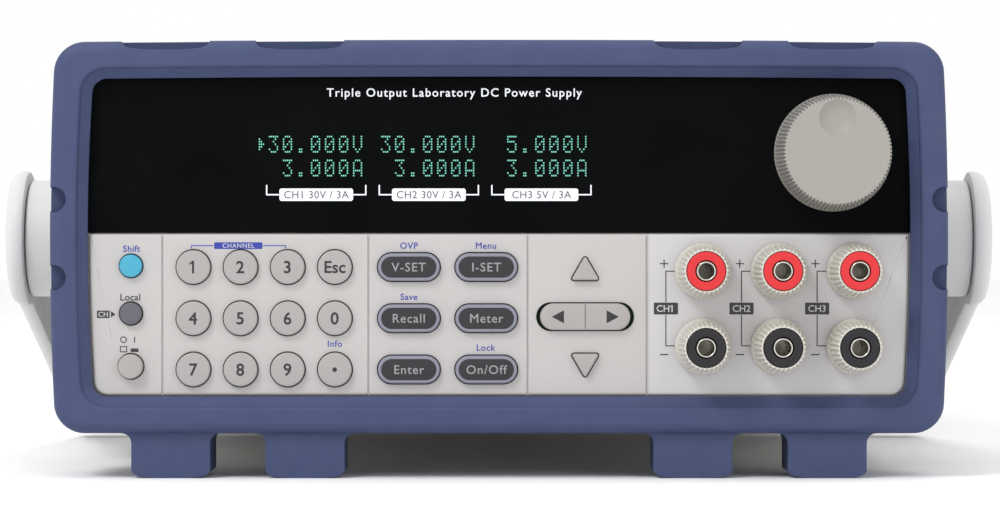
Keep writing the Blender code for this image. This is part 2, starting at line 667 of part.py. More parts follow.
# Binding posts.
def build_posts():
    """Six metal tubes on one block; on each a nut that screws out, with its coloured ring."""
    tip = FRONT_Y - POST_OUT
    nut_back = FRONT_Y - GAP
    bore = POST_TUBE + 2 * GAP
    ring_back = tip + RING_D - GAP
    studs = []
    block_y = PANEL_BACK + GAP
    for name, x, z, look in posts():
        ring = ((bore, tip), (RING, tip), (RING, ring_back), (bore, ring_back))
        add(f"ring_{name}", turned(ring, x, z, ring=True), look, (x, tip, z))
        seat = RING + 2 * GAP
        places = (
            (circle(bore, NUT_STEPS), nut_back),
            (fluted(NUT_BASE, NUT_FLUTE, NUT_STEPS), nut_back),
            (fluted(NUT_BASE, NUT_FLUTE, NUT_STEPS), nut_back - NUT_SKIRT),
            (fluted(NUT_FACE, NUT_FLUTE, NUT_STEPS), tip),
            (circle(seat, NUT_STEPS), tip),
            (circle(seat, NUT_STEPS), tip + RING_D),
            (circle(bore, NUT_STEPS), tip + RING_D),
        )
        nut = loft([along_y(points, y, x, z) for points, y in places], ring=True)
        add(f"nut_{name}", nut, CREAM, (x, nut_back, z))
        stud = ((POST_BORE, tip + POST_BORE_D), (POST_BORE, tip), (POST_TUBE, tip), (POST_TUBE, block_y + GAP))
        studs.append(turned(stud, x, z))
    block = prism(rect(BLOCK_W, BLOCK_H), block_y, block_y + BLOCK_D, POST_X, MID_Z + POST_Z)
    unite(add("terminal_block", block, NICKEL), *studs)


# Handle.
def build_handle():
    """A bail whose two discs turn on hubs at the case's sides, stowed back and down under the case."""
    along, across = math.cos(ARM_DROP), math.sin(ARM_DROP)

    def turn(u, v):
        return (u * along + v * across, v * along - u * across)

    half = ARM_END_W / 2
    start = math.asin(ARM_W / PLATE_DISC)
    outline = []
    for step in range(17):
        angle = start + (math.tau - 2 * start) * step / 16
        outline.append(turn(PLATE_DISC / 2 * math.cos(angle), PLATE_DISC / 2 * math.sin(angle)))
    for step in range(7):
        angle = -math.pi / 2 + math.pi * step / 6
        outline.append(turn(ARM_L + half * math.cos(angle), half * math.sin(angle)))
    grip_y, grip_z = turn(ARM_L, 0)
    y, z = PIVOT.y, PIVOT.z

    def plate(x0, x1):
        return loft([along_x(outline, x0, y, z), along_x(outline, x1, y, z)])

    def rod(diameter, x0, x1, dy=0.0, dz=0.0):
        return loft([along_x(circle(diameter), x, y + dy, z + dz) for x in (x0, x1)])

    outer, sunk = PLATE_X + PLATE_T, PLATE_X + PLATE_T / 2
    stub_x = SIDE_X + GAP + HUB_FLOOR + STUB_GAP
    handle = add("handle", rod(GRIP, -sunk, sunk, grip_y, grip_z), HANDLE_GREY, PIVOT)
    unite(handle, plate(-outer, -PLATE_X), plate(PLATE_X, outer))
    unite(handle, rod(HUB_BORE - 2 * GAP, -sunk, -stub_x), rod(HUB_BORE - 2 * GAP, stub_x, sunk))

    for name, side in (("handle_hub_left", -1), ("handle_hub_right", 1)):
        near, far = SIDE_X + GAP, PLATE_X - GAP
        places = (
            (HUB_BORE, near + HUB_FLOOR),
            (HUB_BORE, far),
            (HUB - 2 * HUB_EDGE, far),
            (HUB, far - HUB_EDGE),
            (HUB, near),
        )
        add(name, loft([along_x(circle(d, 24), side * x, y, z) for d, x in places]), HANDLE_GREY)


# Inside.
def build_boards():
    low, top = MID_Z - CASE_H / 2 + PANEL_WALL + BOARD_EDGE, MID_Z - BOARD_EDGE
    left, right = -SIDE_X + PANEL_WALL + 2 * GAP, POST_X - BLOCK_W / 2 - GAP
    board = add("keypad_board", box(left, right, BOARD_Y, BOARD_Y + BOARD_T, low, top), BOARD_GREEN)
    flange_hole = circle(POWER_KEY + 4 * KEY_GAP + 2 * GAP)
    cut(board, prism(flange_hole, BOARD_Y - BOARD_T, BOARD_Y + 2 * BOARD_T, SIDE_KEY_X, MID_Z + POWER_Z))

    plunger_y = BOARD_Y + BOARD_T + 2 * POWER_TRAVEL + GAP
    body_y = plunger_y + GAP
    switch = ((POWER_ROD, plunger_y), (POWER_ROD, body_y), (SWITCH, body_y), (SWITCH, body_y + SWITCH))
    add("power_switch", turned(switch, SIDE_KEY_X, MID_Z + POWER_Z, 8), BLACK)

    glass = rect(DISPLAY_X[1] - DISPLAY_X[0] - 4 * GAP, DISPLAY_Z[1] - DISPLAY_Z[0] - 4 * GAP)
    plate = grown(glass, BOARD_EDGE)
    x, z = sum(DISPLAY_X) / 2, MID_Z + sum(DISPLAY_Z) / 2
    glass_y, plate_y = WINDOW_Y + WINDOW_T + GAP, PANEL_BACK + GAP
    places = ((glass, glass_y), (glass, plate_y), (plate, plate_y), (plate, plate_y + DISPLAY_D))
    add("display_module", loft([along_y(points, y, x, z) for points, y in places]), BLACK_GLOSS)


def build_inside():
    """The supply's works on the chassis floor, between the front panel and the fan."""
    half = SIDE_X - SHEET - GAP - SHEET - BOARD_EDGE
    front, back = FRONT_Y + BOARD_BACK, REAR_Y - REAR_SHEET - max(FAN_D, INLET_D) - BOARD_EDGE
    board_z = FLOOR_Z + STANDOFF
    board = add("main_board", box(-half, half, front, back, board_z, board_z + BOARD_T), BOARD_GREEN)
    corners = [(side * (half - STANDOFF), y) for side in (-1, 1) for y in (front + STANDOFF, back - STANDOFF)]
    leg = STANDOFF / 2
    unite(board, *[box(x - leg, x + leg, y - leg, y + leg, FLOOR_Z + GAP, board_z + GAP) for x, y in corners])

    y = FRONT_Y + CORE_BACK
    middle = FLOOR_Z + GAP + CORE_H / 2
    core = prism(rect(CORE_W, CORE_H), y - CORE_D / 2, y + CORE_D / 2, 0, middle)
    winding = prism(rect(WINDING_W, WINDING_H), y - WINDING_D / 2, y + WINDING_D / 2, 0, middle)
    unite(add("transformer", core, STEEL), winding)

    section = [(0.0, 0.0), ((FIN_COUNT - 1) * (FIN_T + FIN_SPACE) + FIN_T, 0.0)]
    for i in reversed(range(FIN_COUNT)):
        u = i * (FIN_T + FIN_SPACE)
        section += [(u + FIN_T, SINK_H), (u, SINK_H)]
        if i:
            section += [(u, SINK_BASE), (u - FIN_SPACE, SINK_BASE)]
    sink_y = front + 2 * BOARD_EDGE
    sink = prism(section, sink_y, sink_y + SINK_D, SINK_X, board_z + BOARD_T + GAP)
    add("heatsink", sink, ALUMINIUM)


def build_fan():
    """The fan's frame, with struts to a hub plate behind, and its bladed rotor on the same axis."""
    back = REAR_Y - REAR_SHEET - GAP
    front = back - FAN_D
    frame = add("fan_frame", prism(rounded(FAN, FAN, FAN_CORNER), front, back, FAN_X, MID_Z), BLACK)
    cut(frame, turned(((FAN_DUCT, front - GAP), (FAN_DUCT, back + GAP)), FAN_X, MID_Z, 32))
    strut_y = front + FAN_STRUT_D
    reach = FAN_DUCT / 2 + GAP * 2
    for outline in (rect(2 * reach, FAN_STRUT), rect(FAN_STRUT, 2 * reach), circle(FAN_HUB)):
        unite(frame, prism(outline, front, strut_y, FAN_X, MID_Z))

    hub_y = strut_y + 2 * GAP
    hub_end = back - BOARD_T
    hub = turned(((FAN_HUB, hub_y), (FAN_HUB, hub_end)), FAN_X, MID_Z, 3 * FAN_BLADES)
    rotor = add("fan_rotor", hub, BLACK, (FAN_X, hub_y, MID_Z))
    middle = Vector((FAN_X, (hub_y + hub_end) / 2, MID_Z))
    outline = rect(BLADE_T, (hub_end - hub_y) * BLADE_CHORD)
    radii = (FAN_HUB / 2 - BLADE_SUNK, FAN_DUCT / 2 - BLADE_CLEAR)
    blades = []
    for i in range(FAN_BLADES):
        spoke = Matrix.Rotation(math.tau * i / FAN_BLADES, 3, "Y")
        sections = []
        for radius, pitch in zip(radii, BLADE_PITCH):
            twist, out = Matrix.Rotation(pitch, 3, "Z"), Vector((0, 0, radius))
            sections.append([middle + spoke @ (twist @ Vector((u, v, 0)) + out) for u, v in outline])
        blades.append(loft(sections))
    unite(rotor, *blades)


def build_rear_connectors():
    """The mains inlet, a recess with three pins in it, and the box of the remote-control ports."""
    x, z = INLET_X, MID_Z + INLET_Z
    face_y = REAR_Y + BOARD_T
    inlet = add("mains_inlet", prism(rect(INLET_W, INLET_H), face_y - INLET_D, face_y, x, z), BLACK)
    cavity_y = face_y - CAVITY_D
    side, top = CAVITY_W / 2, CAVITY_H / 2
    shape = [(side, -top), (side, top - CAVITY_CORNER), (side - CAVITY_CORNER, top)]
    shape += [(-u, v) for u, v in shape[::-1]]
    cut(inlet, prism(shape, cavity_y, face_y + GAP, x, z))
    pins = []
    for dx, dz in ((-PIN_X, -PIN_Z), (0.0, PIN_Z), (PIN_X, -PIN_Z)):
        pins.append(prism(rect(PIN_W, PIN_H), cavity_y - GAP, cavity_y + PIN_L, x + dx, z + dz))
    unite(inlet, *pins)

    x, z = PORTS_X, MID_Z + PORTS_Z
    ports = add("remote_ports", prism(rect(PORTS_W, PORTS_H), face_y - PORTS_D, face_y, x, z), STEEL)
    mouths = ((rect(NETWORK_W, NETWORK_H), -PORTS_W / 4), (rect(SERIAL_W, SERIAL_H), PORTS_W / 4))
    cut(ports, *[prism(outline, face_y - PORT_DEEP, face_y + GAP, x + dx, z) for outline, dx in mouths])


def main():
    for obj in list(bpy.data.objects):
        bpy.data.objects.remove(obj, do_unlink=True)
    bumper("front_bumper", FRONT_Y - BUMPER_OUT, FRONT_Y, 1)
    bumper("rear_bumper", REAR_Y + BUMPER_OUT, REAR_Y, -1)
    build_case()
    build_front_panel()
    build_keys()
    build_knob()
    build_posts()
    build_handle()
    build_boards()
    build_inside()
    build_fan()
    build_rear_connectors()


main()
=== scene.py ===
"""The looks of a bench power supply, laid out as an add-on.

Each operator builds one piece or one group of pieces.

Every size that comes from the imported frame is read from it. The front faces -Y, and lengths are in metres.
"""

import json
import math

import bmesh
import bpy
from bpy.props import FloatProperty, FloatVectorProperty, IntProperty, PointerProperty, StringProperty
from bpy.types import Operator, Panel, PropertyGroup
from mathutils import Matrix, Vector


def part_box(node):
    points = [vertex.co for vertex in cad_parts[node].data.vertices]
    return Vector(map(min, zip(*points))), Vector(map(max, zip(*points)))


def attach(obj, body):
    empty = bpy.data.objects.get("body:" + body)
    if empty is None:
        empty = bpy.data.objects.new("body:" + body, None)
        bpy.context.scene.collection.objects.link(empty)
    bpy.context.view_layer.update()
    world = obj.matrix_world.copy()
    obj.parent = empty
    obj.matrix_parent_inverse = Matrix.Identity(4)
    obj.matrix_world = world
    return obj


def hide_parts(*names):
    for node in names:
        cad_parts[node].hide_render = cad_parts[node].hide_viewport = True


bl_info = {
    "name": "Bench Supply Looks",
    "version": (1, 0, 0),
    "blender": (4, 5, 0),
    "location": "3D View > Sidebar > Bench Supply",
    "description": "Builds the visible pieces of a three-output bench power supply round its packed frame",
    "category": "Object",
}

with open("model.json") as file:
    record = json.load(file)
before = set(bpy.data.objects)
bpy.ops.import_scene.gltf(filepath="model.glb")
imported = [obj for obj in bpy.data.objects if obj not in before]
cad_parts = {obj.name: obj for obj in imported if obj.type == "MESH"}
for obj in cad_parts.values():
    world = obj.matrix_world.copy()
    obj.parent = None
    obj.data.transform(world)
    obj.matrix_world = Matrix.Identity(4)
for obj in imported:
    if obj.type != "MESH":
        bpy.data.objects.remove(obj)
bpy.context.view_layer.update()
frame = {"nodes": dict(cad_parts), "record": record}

MM = 0.001
GAP = 0.3 * MM
KEY_FLANGE_REACH = 0.6 * MM
KEY_FLANGE = 0.8 * MM
PRINT_T = 0.02 * MM
FINE = 64


# Places read from the frame.
def middle(node):
    low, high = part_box(node)
    return (low + high) / 2


def extent(node):
    low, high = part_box(node)
    return high - low


def joint_place(name):
    for joint in frame["record"]["behaviour"]["joints"]:
        if joint["name"] == name:
            return Vector(joint["pos_m"])
    raise ValueError(f"the frame has no joint named {name}")


PANEL_LOW, PANEL_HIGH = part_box("front_panel")
FACE_Y = PANEL_LOW.y
MID_Z = (PANEL_LOW.z + PANEL_HIGH.z) / 2
CASE_W = PANEL_HIGH.x - PANEL_LOW.x
CASE_H = PANEL_HIGH.z - PANEL_LOW.z
REAR_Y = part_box("rear_panel")[1].y
WINDOW_LOW, WINDOW_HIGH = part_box("display_window")
POST_NAMES = [f"{sign}_{column}" for column in (1, 2, 3) for sign in ("positive", "negative")]
ROUND_KEYS = {
    "key_1": "1", "key_2": "2", "key_3": "3", "key_escape": "Esc",
    "key_4": "4", "key_5": "5", "key_6": "6", "key_0": "0",
    "key_7": "7", "key_8": "8", "key_9": "9", "key_point": "",
}
GROOVES = (-84.8 * MM, -32.9 * MM, 7.2 * MM, 37.2 * MM)
TERMINAL_EDGE = 37.9 * MM
SIDE_X = -92.7 * MM
PANEL_T = 5.0 * MM
DARK_WORDS = (("Local", 1.75 * MM, -92.9 * MM, -15.0 * MM),)
BLUE_WORDS = (
    ("Shift", -92.6 * MM, -2.75 * MM), ("Info", -41.4 * MM, -26.7 * MM), ("OVP", -22.7 * MM, -2.0 * MM),
    ("Menu", -3.3 * MM, -2.0 * MM), ("Save", -22.7 * MM, -14.9 * MM), ("Lock", -3.4 * MM, -27.7 * MM),
)
RATINGS = ("CH1 30V / 3A", "CH2 30V / 3A", "CH3 5V / 3A")
READOUT = (">30.000V 30.000V  5.000V", "  3.000A  3.000A  3.000A")
# The display's characters, each as seven rows of five dots.
DOTS = {
    "0": ".###. #...# #..## #.#.# ##..# #...# .###.",
    "3": "##### ...#. ..#.. ...#. ....# #...# .###.",
    "5": "##### #.... ####. ....# ....# #...# .###.",
    ".": "..... ..... ..... ..... ..... .##.. .##..",
    "V": "#...# #...# #...# #...# #...# .#.#. ..#..",
    "A": ".###. #...# #...# #...# ##### #...# #...#",
    ">": "..... ..#.. ..##. ..### ..##. ..#.. .....",
}
OVAL_KEYS = {
    "key_voltage": "V-SET", "key_current": "I-SET", "key_recall": "Recall",
    "key_meter": "Meter", "key_enter": "Enter", "key_output": "On/Off",
}


# Outlines: lists of (u, v) points, counter-clockwise.
def circle(diameter, steps=FINE):
    angles = [math.tau * i / steps for i in range(steps)]
    return [(diameter / 2 * math.cos(a), diameter / 2 * math.sin(a)) for a in angles]


def rounded(width, height, radius, corner_steps=8, splits=1):
    """A rectangle with round corners, its straight stretches split evenly."""
    corners = []
    for index, (side_u, side_v) in enumerate(((1, -1), (1, 1), (-1, 1), (-1, -1))):
        for step in range(corner_steps + 1):
            angle = math.pi / 2 * (index - 1 + step / corner_steps)
            u = side_u * (width / 2 - radius) + radius * math.cos(angle)
            v = side_v * (height / 2 - radius) + radius * math.sin(angle)
            corners.append((u, v))
    points = []
    for index, (u, v) in enumerate(corners):
        points.append((u, v))
        if index % (corner_steps + 1) == corner_steps:
            next_u, next_v = corners[(index + 1) % len(corners)]
            for k in range(1, splits):
                points.append((u + (next_u - u) * k / splits, v + (next_v - v) * k / splits))
    return points


def stadium(width, height, steps=24):
    """An outline with two straight sides and two round ends."""
    points = []
    for side in (1, -1):
        for i in range(steps + 1):
            angle = math.pi * (i / steps - 0.5)
            u, v = width / 2 - height / 2 + height / 2 * math.cos(angle), height / 2 * math.sin(angle)
            points.append((side * u, side * v))
    return points


def soft_polygon(corners, radius, steps=5):
    """A convex polygon with round corners."""
    points = []
    count = len(corners)
    for i, corner in enumerate(corners):
        here = Vector(corner)
        before = (Vector(corners[i - 1]) - here).normalized()
        after = (Vector(corners[(i + 1) % count]) - here).normalized()
        half = before.angle(after) / 2
        centre = here + (before + after).normalized() * radius / math.sin(half)
        start = here + before * radius / math.tan(half) - centre
        turn = math.pi - 2 * half
        for step in range(steps + 1):
            angle = turn * step / steps
            cos, sin = math.cos(angle), math.sin(angle)
            across, along = start.x * cos - start.y * sin, start.x * sin + start.y * cos
            points.append((centre.x + across, centre.y + along))
    return points


def grown(outline, by):
    """The outline moved outward by a distance, corner by corner."""
    moved = []
    for i, point in enumerate(outline):
        here = Vector(point)
        first = (here - Vector(outline[i - 1])).normalized()
        second = (Vector(outline[(i + 1) % len(outline)]) - here).normalized()
        normal = Vector((first.y + second.y, -first.x - second.x))
        moved.append(tuple(here + normal * (2 * by / normal.length_squared)))
    return moved


# Sections and solids.
def along_y(outline, y, x=0.0, z=0.0):
    return [Vector((x + u, y, z + v)) for u, v in outline]


def along_x(outline, x, y=0.0, z=0.0):
    return [Vector((x, y + u, z + v)) for u, v in outline]


def loft(sections, ring=False):
    """A closed solid through sections of equal length: capped at its ends, or a ring that meets itself."""
    bm = bmesh.new()
    loops = [[bm.verts.new(point) for point in section] for section in sections]
    followers = loops[1:] + loops[:1] if ring else loops[1:]
    for near, far in zip(loops, followers):
        for i in range(len(near)):
            j = (i + 1) % len(near)
            bm.faces.new((near[i], near[j], far[j], far[i]))
    if not ring:
        bm.faces.new(loops[0])
        bm.faces.new(loops[-1][::-1])
    bmesh.ops.recalc_face_normals(bm, faces=bm.faces)
    return bm


def prism(outline, y0, y1, x=0.0, z=0.0):
    return loft([along_y(outline, y0, x, z), along_y(outline, y1, x, z)])


def box(low, high):
    half_x, half_z = (high[0] - low[0]) / 2, (high[2] - low[2]) / 2
    corners = [(half_x, -half_z), (half_x, half_z), (-half_x, half_z), (-half_x, -half_z)]
    return prism(corners, low[1], high[1], (low[0] + high[0]) / 2, (low[2] + high[2]) / 2)


def turned(profile, x, z, steps=FINE, ring=False):
    """A turned solid on an axis along Y through (x, z); the profile is (diameter, y) points."""
    return loft([along_y(circle(d, steps), y, x, z) for d, y in profile], ring)


def quarter(radius, steps=5):
    """(inset, depth) pairs of a round edge, from the face to the side."""
    angles = [math.pi / 2 * i / steps for i in range(steps + 1)]
    return [(radius * (1 - math.sin(a)), radius * (1 - math.cos(a))) for a in angles]


def soft_faced(outline, face_y, back_y, edge, x=0.0, z=0.0, steps=5):
    """A solid whose front face meets its side in a round edge."""
    rims = quarter(edge, steps)
    sections = [along_y(grown(outline, -inset), face_y + depth, x, z) for inset, depth in rims]
    return loft(sections + [along_y(outline, back_y, x, z)])


def joined(solids):
    """One mesh that holds several solids."""
    whole = bmesh.new()
    for bm in solids:
        mesh = bpy.data.meshes.new("part")
        bm.to_mesh(mesh)
        bm.free()
        whole.from_mesh(mesh)
        bpy.data.meshes.remove(mesh)
    return whole


def glyphs(words, height, x, z, y, spread=1.0, bold=0.0):
    """Flat printed characters that face the front, centred on (x, z)."""
    curve = bpy.data.curves.new("words", "FONT")
    curve.body = words
    curve.size = height * 1.37
    curve.align_x, curve.align_y = "CENTER", "CENTER"
    curve.extrude = PRINT_T / 2
    curve.bevel_depth, curve.bevel_resolution = bold, 0
    curve.space_character = spread
    curve.resolution_u = 3
    obj = bpy.data.objects.new("words", curve)
    bpy.context.scene.collection.objects.link(obj)
    bpy.context.view_layer.update()
    mesh = bpy.data.meshes.new_from_object(obj.evaluated_get(bpy.context.evaluated_depsgraph_get()))
    bpy.data.objects.remove(obj)
    bm = bmesh.new()
    bm.from_mesh(mesh)
    bpy.data.meshes.remove(mesh)
    heights = [v.co.y for v in bm.verts]
    lift = -(min(heights) + max(heights)) / 2
    upright = Matrix.Rotation(math.pi / 2, 4, "X")
    stand = Matrix.Translation((x, y, z)) @ upright @ Matrix.Translation((0, lift, 0))
    bmesh.ops.transform(bm, matrix=stand, verts=bm.verts)
    return bm


def one(height, x, z, y):
    """A printed figure 1 with a flag, which the built-in typeface draws as a plain bar."""
    half, top, flag = height * 0.085, height / 2, height * 0.3
    outline = [(-half, -top), (half, -top), (half, top), (-half * 0.6, top), (-flag, top * 0.6),
               (-flag, top * 0.32), (-half, top * 0.62)]
    return prism(outline, y - PRINT_T / 2, y + PRINT_T / 2, x, z)


# Pieces.
def bare_object(name, bm):
    mesh = bpy.data.meshes.new(name)
    bm.to_mesh(mesh)
    bm.free()
    obj = bpy.data.objects.new(name, mesh)
    bpy.context.scene.collection.objects.link(obj)
    return obj


def combine(obj, bm, operation):
    """Cuts a solid from a piece, or unites one with it, and keeps the result as the piece's mesh."""
    tool = bare_object(f"{obj.name}_tool", bm)
    modifier = obj.modifiers.new("combine", "BOOLEAN")
    modifier.operation, modifier.solver, modifier.object = operation, "MANIFOLD", tool
    settle(obj)
    bpy.data.objects.remove(tool)


def settle(obj):
    """Makes what the modifiers give the piece's own mesh."""
    bpy.context.view_layer.update()
    mesh = bpy.data.meshes.new_from_object(obj.evaluated_get(bpy.context.evaluated_depsgraph_get()))
    obj.modifiers.clear()
    obj.data = mesh


def soften(obj, width, segments=2, angle=40):
    """Rounds the piece's sharp edges with a Bevel modifier, and keeps its flat faces evenly shaded."""
    modifier = obj.modifiers.new("soft_edges", "BEVEL")
    modifier.width, modifier.segments = width, segments
    modifier.limit_method, modifier.angle_limit = "ANGLE", math.radians(angle)
    obj.modifiers.new("even_shading", "WEIGHTED_NORMAL").keep_sharp = True


def piece(name, bm, material, body="root", stands_for=(), sharp=35):
    """A finished piece of the object that rides on a body of the frame."""
    obj = bare_object(name, bm) if isinstance(bm, bmesh.types.BMesh) else bm
    obj.data.shade_smooth()
    obj.data.set_sharp_from_angle(angle=math.radians(sharp))
    obj.data.materials.clear()
    obj.data.materials.append(material)
    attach(obj, body)
    if stands_for:
        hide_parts(*stands_for)
    return obj


def dress(nodes, material, edge=0.0):
    """Gives nodes of the frame their finish, with round edges where a width is given."""
    for name in nodes:
        obj = frame["nodes"][name]
        obj.data.materials.clear()
        obj.data.materials.append(material)
        if edge:
            weld = obj.modifiers.new("weld", "WELD")
            weld.merge_threshold = 0.01 * MM
            soften(obj, edge, 2, 50)


# Finishes.
def ink(red, green, blue):
    """A linear colour from display values of 0 to 255."""
    shares = [value / 255 for value in (red, green, blue)]
    return tuple(s / 12.92 if s <= 0.04045 else ((s + 0.055) / 1.055) ** 2.4 for s in shares)


class Finish:
    """A Principled material with a few helpers that place and join its nodes."""

    def __init__(self, name, roughness, metallic=0.0, specular=0.5):
        self.material = bpy.data.materials.new(name)
        self.material.use_nodes = True
        self.nodes, self.links = self.material.node_tree.nodes, self.material.node_tree.links
        self.shader = self.nodes["Principled BSDF"]
        self.set("Roughness", roughness)
        self.set("Metallic", metallic)
        self.set("Specular IOR Level", specular)
        self.where = self.add("ShaderNodeTexCoord").outputs["Object"]
        self.height = None

    def set(self, socket, value):
        self.shader.inputs[socket].default_value = value

    def add(self, kind, **settings):
        node = self.nodes.new(kind)
        node.location = (-220 * (len(self.nodes) // 4) - 200, 240 - 260 * (len(self.nodes) % 4))
        for key, value in settings.items():
            setattr(node, key, value)
        return node

    def noise(self, scale, detail=3.0, stretch=None):
        """Smooth noise from 0 to 1; stretch scales the three directions."""
        where = self.where
        if stretch:
            mapping = self.add("ShaderNodeMapping")
            mapping.inputs["Scale"].default_value = stretch
            self.links.new(where, mapping.inputs["Vector"])
            where = mapping.outputs["Vector"]
        node = self.add("ShaderNodeTexNoise")
        node.inputs["Scale"].default_value = scale
        node.inputs["Detail"].default_value = detail
        self.links.new(where, node.inputs["Vector"])
        return node.outputs["Fac"]

    def span(self, value, low, high, start=0.3, end=0.7):
        """A value remapped from start..end to low..high."""
        node = self.add("ShaderNodeMapRange")
        for socket, number in zip(("From Min", "From Max", "To Min", "To Max"), (start, end, low, high)):
            node.inputs[socket].default_value = number
        self.links.new(value, node.inputs["Value"])
        return node.outputs["Result"]

    def mixed(self, share, first, second):
        """Two colours, or a colour socket and a colour, mixed by a share from 0 to 1."""
        node = self.add("ShaderNodeMix", data_type="RGBA")
        self.links.new(share, node.inputs["Factor"])
        for socket, colour in ((node.inputs[6], first), (node.inputs[7], second)):
            if isinstance(colour, bpy.types.NodeSocket):
                self.links.new(colour, socket)
            else:
                socket.default_value = (*colour, 1.0)
        return node.outputs[2]

    def colour(self, socket):
        self.links.new(socket, self.shader.inputs["Base Color"])

    def roughness(self, socket):
        self.links.new(socket, self.shader.inputs["Roughness"])

    def relief(self, value, strength, distance):
        """Adds a bump on top of any that the finish has."""
        node = self.add("ShaderNodeBump")
        node.inputs["Strength"].default_value = strength
        node.inputs["Distance"].default_value = distance
        self.links.new(value, node.inputs["Height"])
        if self.height:
            self.links.new(self.height, node.inputs["Normal"])
        self.height = node.outputs["Normal"]
        self.links.new(self.height, self.shader.inputs["Normal"])


def moulded(name, colour, roughness=0.5, grain=0.12, grain_scale=2600.0, mottle=0.05, specular=0.5,
            beside=None):
    """Moulded plastic: a fine spark-eroded grain, a faint cloudiness, and handling marks in its gloss.

    A colour given as beside covers the terminal area, right of its edge.
    """
    finish = Finish(name, roughness, specular=specular)
    cloud = finish.span(finish.noise(60.0), 0.0, 1.0)
    shades = []
    for base in (colour, beside or colour):
        shades.append(finish.mixed(cloud, tuple(c * (1 - mottle) for c in base), base))
    if beside:
        split = finish.add("ShaderNodeSeparateXYZ")
        finish.links.new(finish.where, split.inputs["Vector"])
        edge = finish.span(split.outputs["X"], 0.0, 1.0, TERMINAL_EDGE - 0.02 * MM, TERMINAL_EDGE + 0.02 * MM)
        shades[0] = finish.mixed(edge, *shades)
    finish.colour(shades[0])
    finish.roughness(finish.span(finish.noise(140.0, 5.0), roughness * 0.88, roughness * 1.12))
    finish.relief(finish.noise(grain_scale, 2.0), grain, 0.05 * MM)
    return finish.material


def rubber(name, colour, roughness=0.62):
    """Moulded rubber: a soft grain, chalky bloom in patches and a slightly uneven gloss."""
    finish = Finish(name, roughness, specular=0.35)
    darker = tuple(c * 0.97 for c in colour)
    base = finish.mixed(finish.span(finish.noise(26.0, 4.0), 0.0, 1.0), darker, colour)
    bloom = tuple(c + (1 - c) * 0.012 for c in colour)
    finish.colour(finish.mixed(finish.span(finish.noise(190.0, 6.0), 0.0, 0.6, 0.45, 0.8), base, bloom))
    finish.roughness(finish.span(finish.noise(90.0, 4.0), roughness * 0.95, roughness * 1.1))
    finish.relief(finish.noise(1500.0, 3.0), 0.1, 0.04 * MM)
    return finish.material


def sheet_paint(name, colour, roughness=0.48):
    """Powder coat on sheet metal: an orange-peel skin and a faint tint change."""
    finish = Finish(name, roughness, specular=0.5)
    darker = tuple(c * 0.96 for c in colour)
    finish.colour(finish.mixed(finish.span(finish.noise(18.0), 0.0, 1.0), darker, colour))
    finish.roughness(finish.span(finish.noise(300.0, 4.0), roughness * 0.85, roughness * 1.15))
    finish.relief(finish.noise(700.0, 3.0), 0.25, 0.08 * MM)
    return finish.material


def metal(name, colour, roughness=0.3, grain=(1.0, 1.0, 40.0)):
    """Bare or plated metal with drawn marks along one direction and a little tarnish."""
    finish = Finish(name, roughness, metallic=1.0)
    tarnish = tuple(c * 0.86 for c in colour)
    finish.colour(finish.mixed(finish.span(finish.noise(120.0), 0.0, 1.0), tarnish, colour))
    finish.roughness(finish.span(finish.noise(420.0, 4.0, grain), roughness * 0.7, roughness * 1.35))
    finish.relief(finish.noise(420.0, 4.0, grain), 0.08, 0.03 * MM)
    return finish.material


def glowing(name, colour, strength):
    """The light of a lit display dot, a little uneven from dot to dot."""
    finish = Finish(name, 0.4)
    finish.set("Base Color", (*[c * 0.4 for c in colour], 1.0))
    lit = finish.mixed(finish.span(finish.noise(900.0), 0.0, 1.0), tuple(c * 0.82 for c in colour), colour)
    finish.links.new(lit, finish.shader.inputs["Emission Color"])
    finish.set("Emission Strength", strength)
    return finish.material


def glossy(name, colour):
    """Black acrylic: a hard gloss that hardly mirrors, with faint wiping marks."""
    finish = Finish(name, 0.18, specular=0.01)
    haze = tuple(c + 0.0012 for c in colour)
    finish.colour(finish.mixed(finish.span(finish.noise(40.0, 4.0), 0.0, 1.0), colour, haze))
    finish.roughness(finish.span(finish.noise(220.0, 5.0, (1.0, 1.0, 6.0)), 0.14, 0.24))
    return finish.material


def circuit_board(name, colour):
    """Green solder mask with paler tracks that run along one direction."""
    finish = Finish(name, 0.4)
    tracks = finish.span(finish.noise(260.0, 2.0, (8.0, 1.0, 1.0)), 0.0, 0.5, 0.5, 0.6)
    finish.colour(finish.mixed(tracks, colour, tuple(min(1.0, c * 1.9 + 0.02) for c in colour)))
    finish.relief(finish.noise(260.0, 2.0, (8.0, 1.0, 1.0)), 0.2, 0.05 * MM)
    return finish.material


def floor_paint(name, colour):
    """A pale matt bench top."""
    finish = Finish(name, 0.7, specular=0.2)
    darker = tuple(c * 0.985 for c in colour)
    finish.colour(finish.mixed(finish.span(finish.noise(3.0), 0.0, 1.0), darker, colour))
    return finish.material


def printed(name, colour, roughness=0.45):
    """Screen-printed ink, slightly thin in places."""
    finish = Finish(name, roughness, specular=0.4)
    lighter = tuple(c + (1 - c) * 0.012 for c in colour)
    finish.colour(finish.mixed(finish.span(finish.noise(1600.0, 4.0), 0.0, 1.0), colour, lighter))
    finish.relief(finish.noise(2600.0, 2.0), 0.06, 0.02 * MM)
    return finish.material


# Sizes and colours that a user would change.
def length(name, description, default):
    return FloatProperty(name=name, description=description, default=default, unit="LENGTH",
                         precision=5, min=0.0)


def tint(name, description, default):
    return FloatVectorProperty(name=name, description=description, default=default, subtype="COLOR",
                               min=0.0, max=1.0)


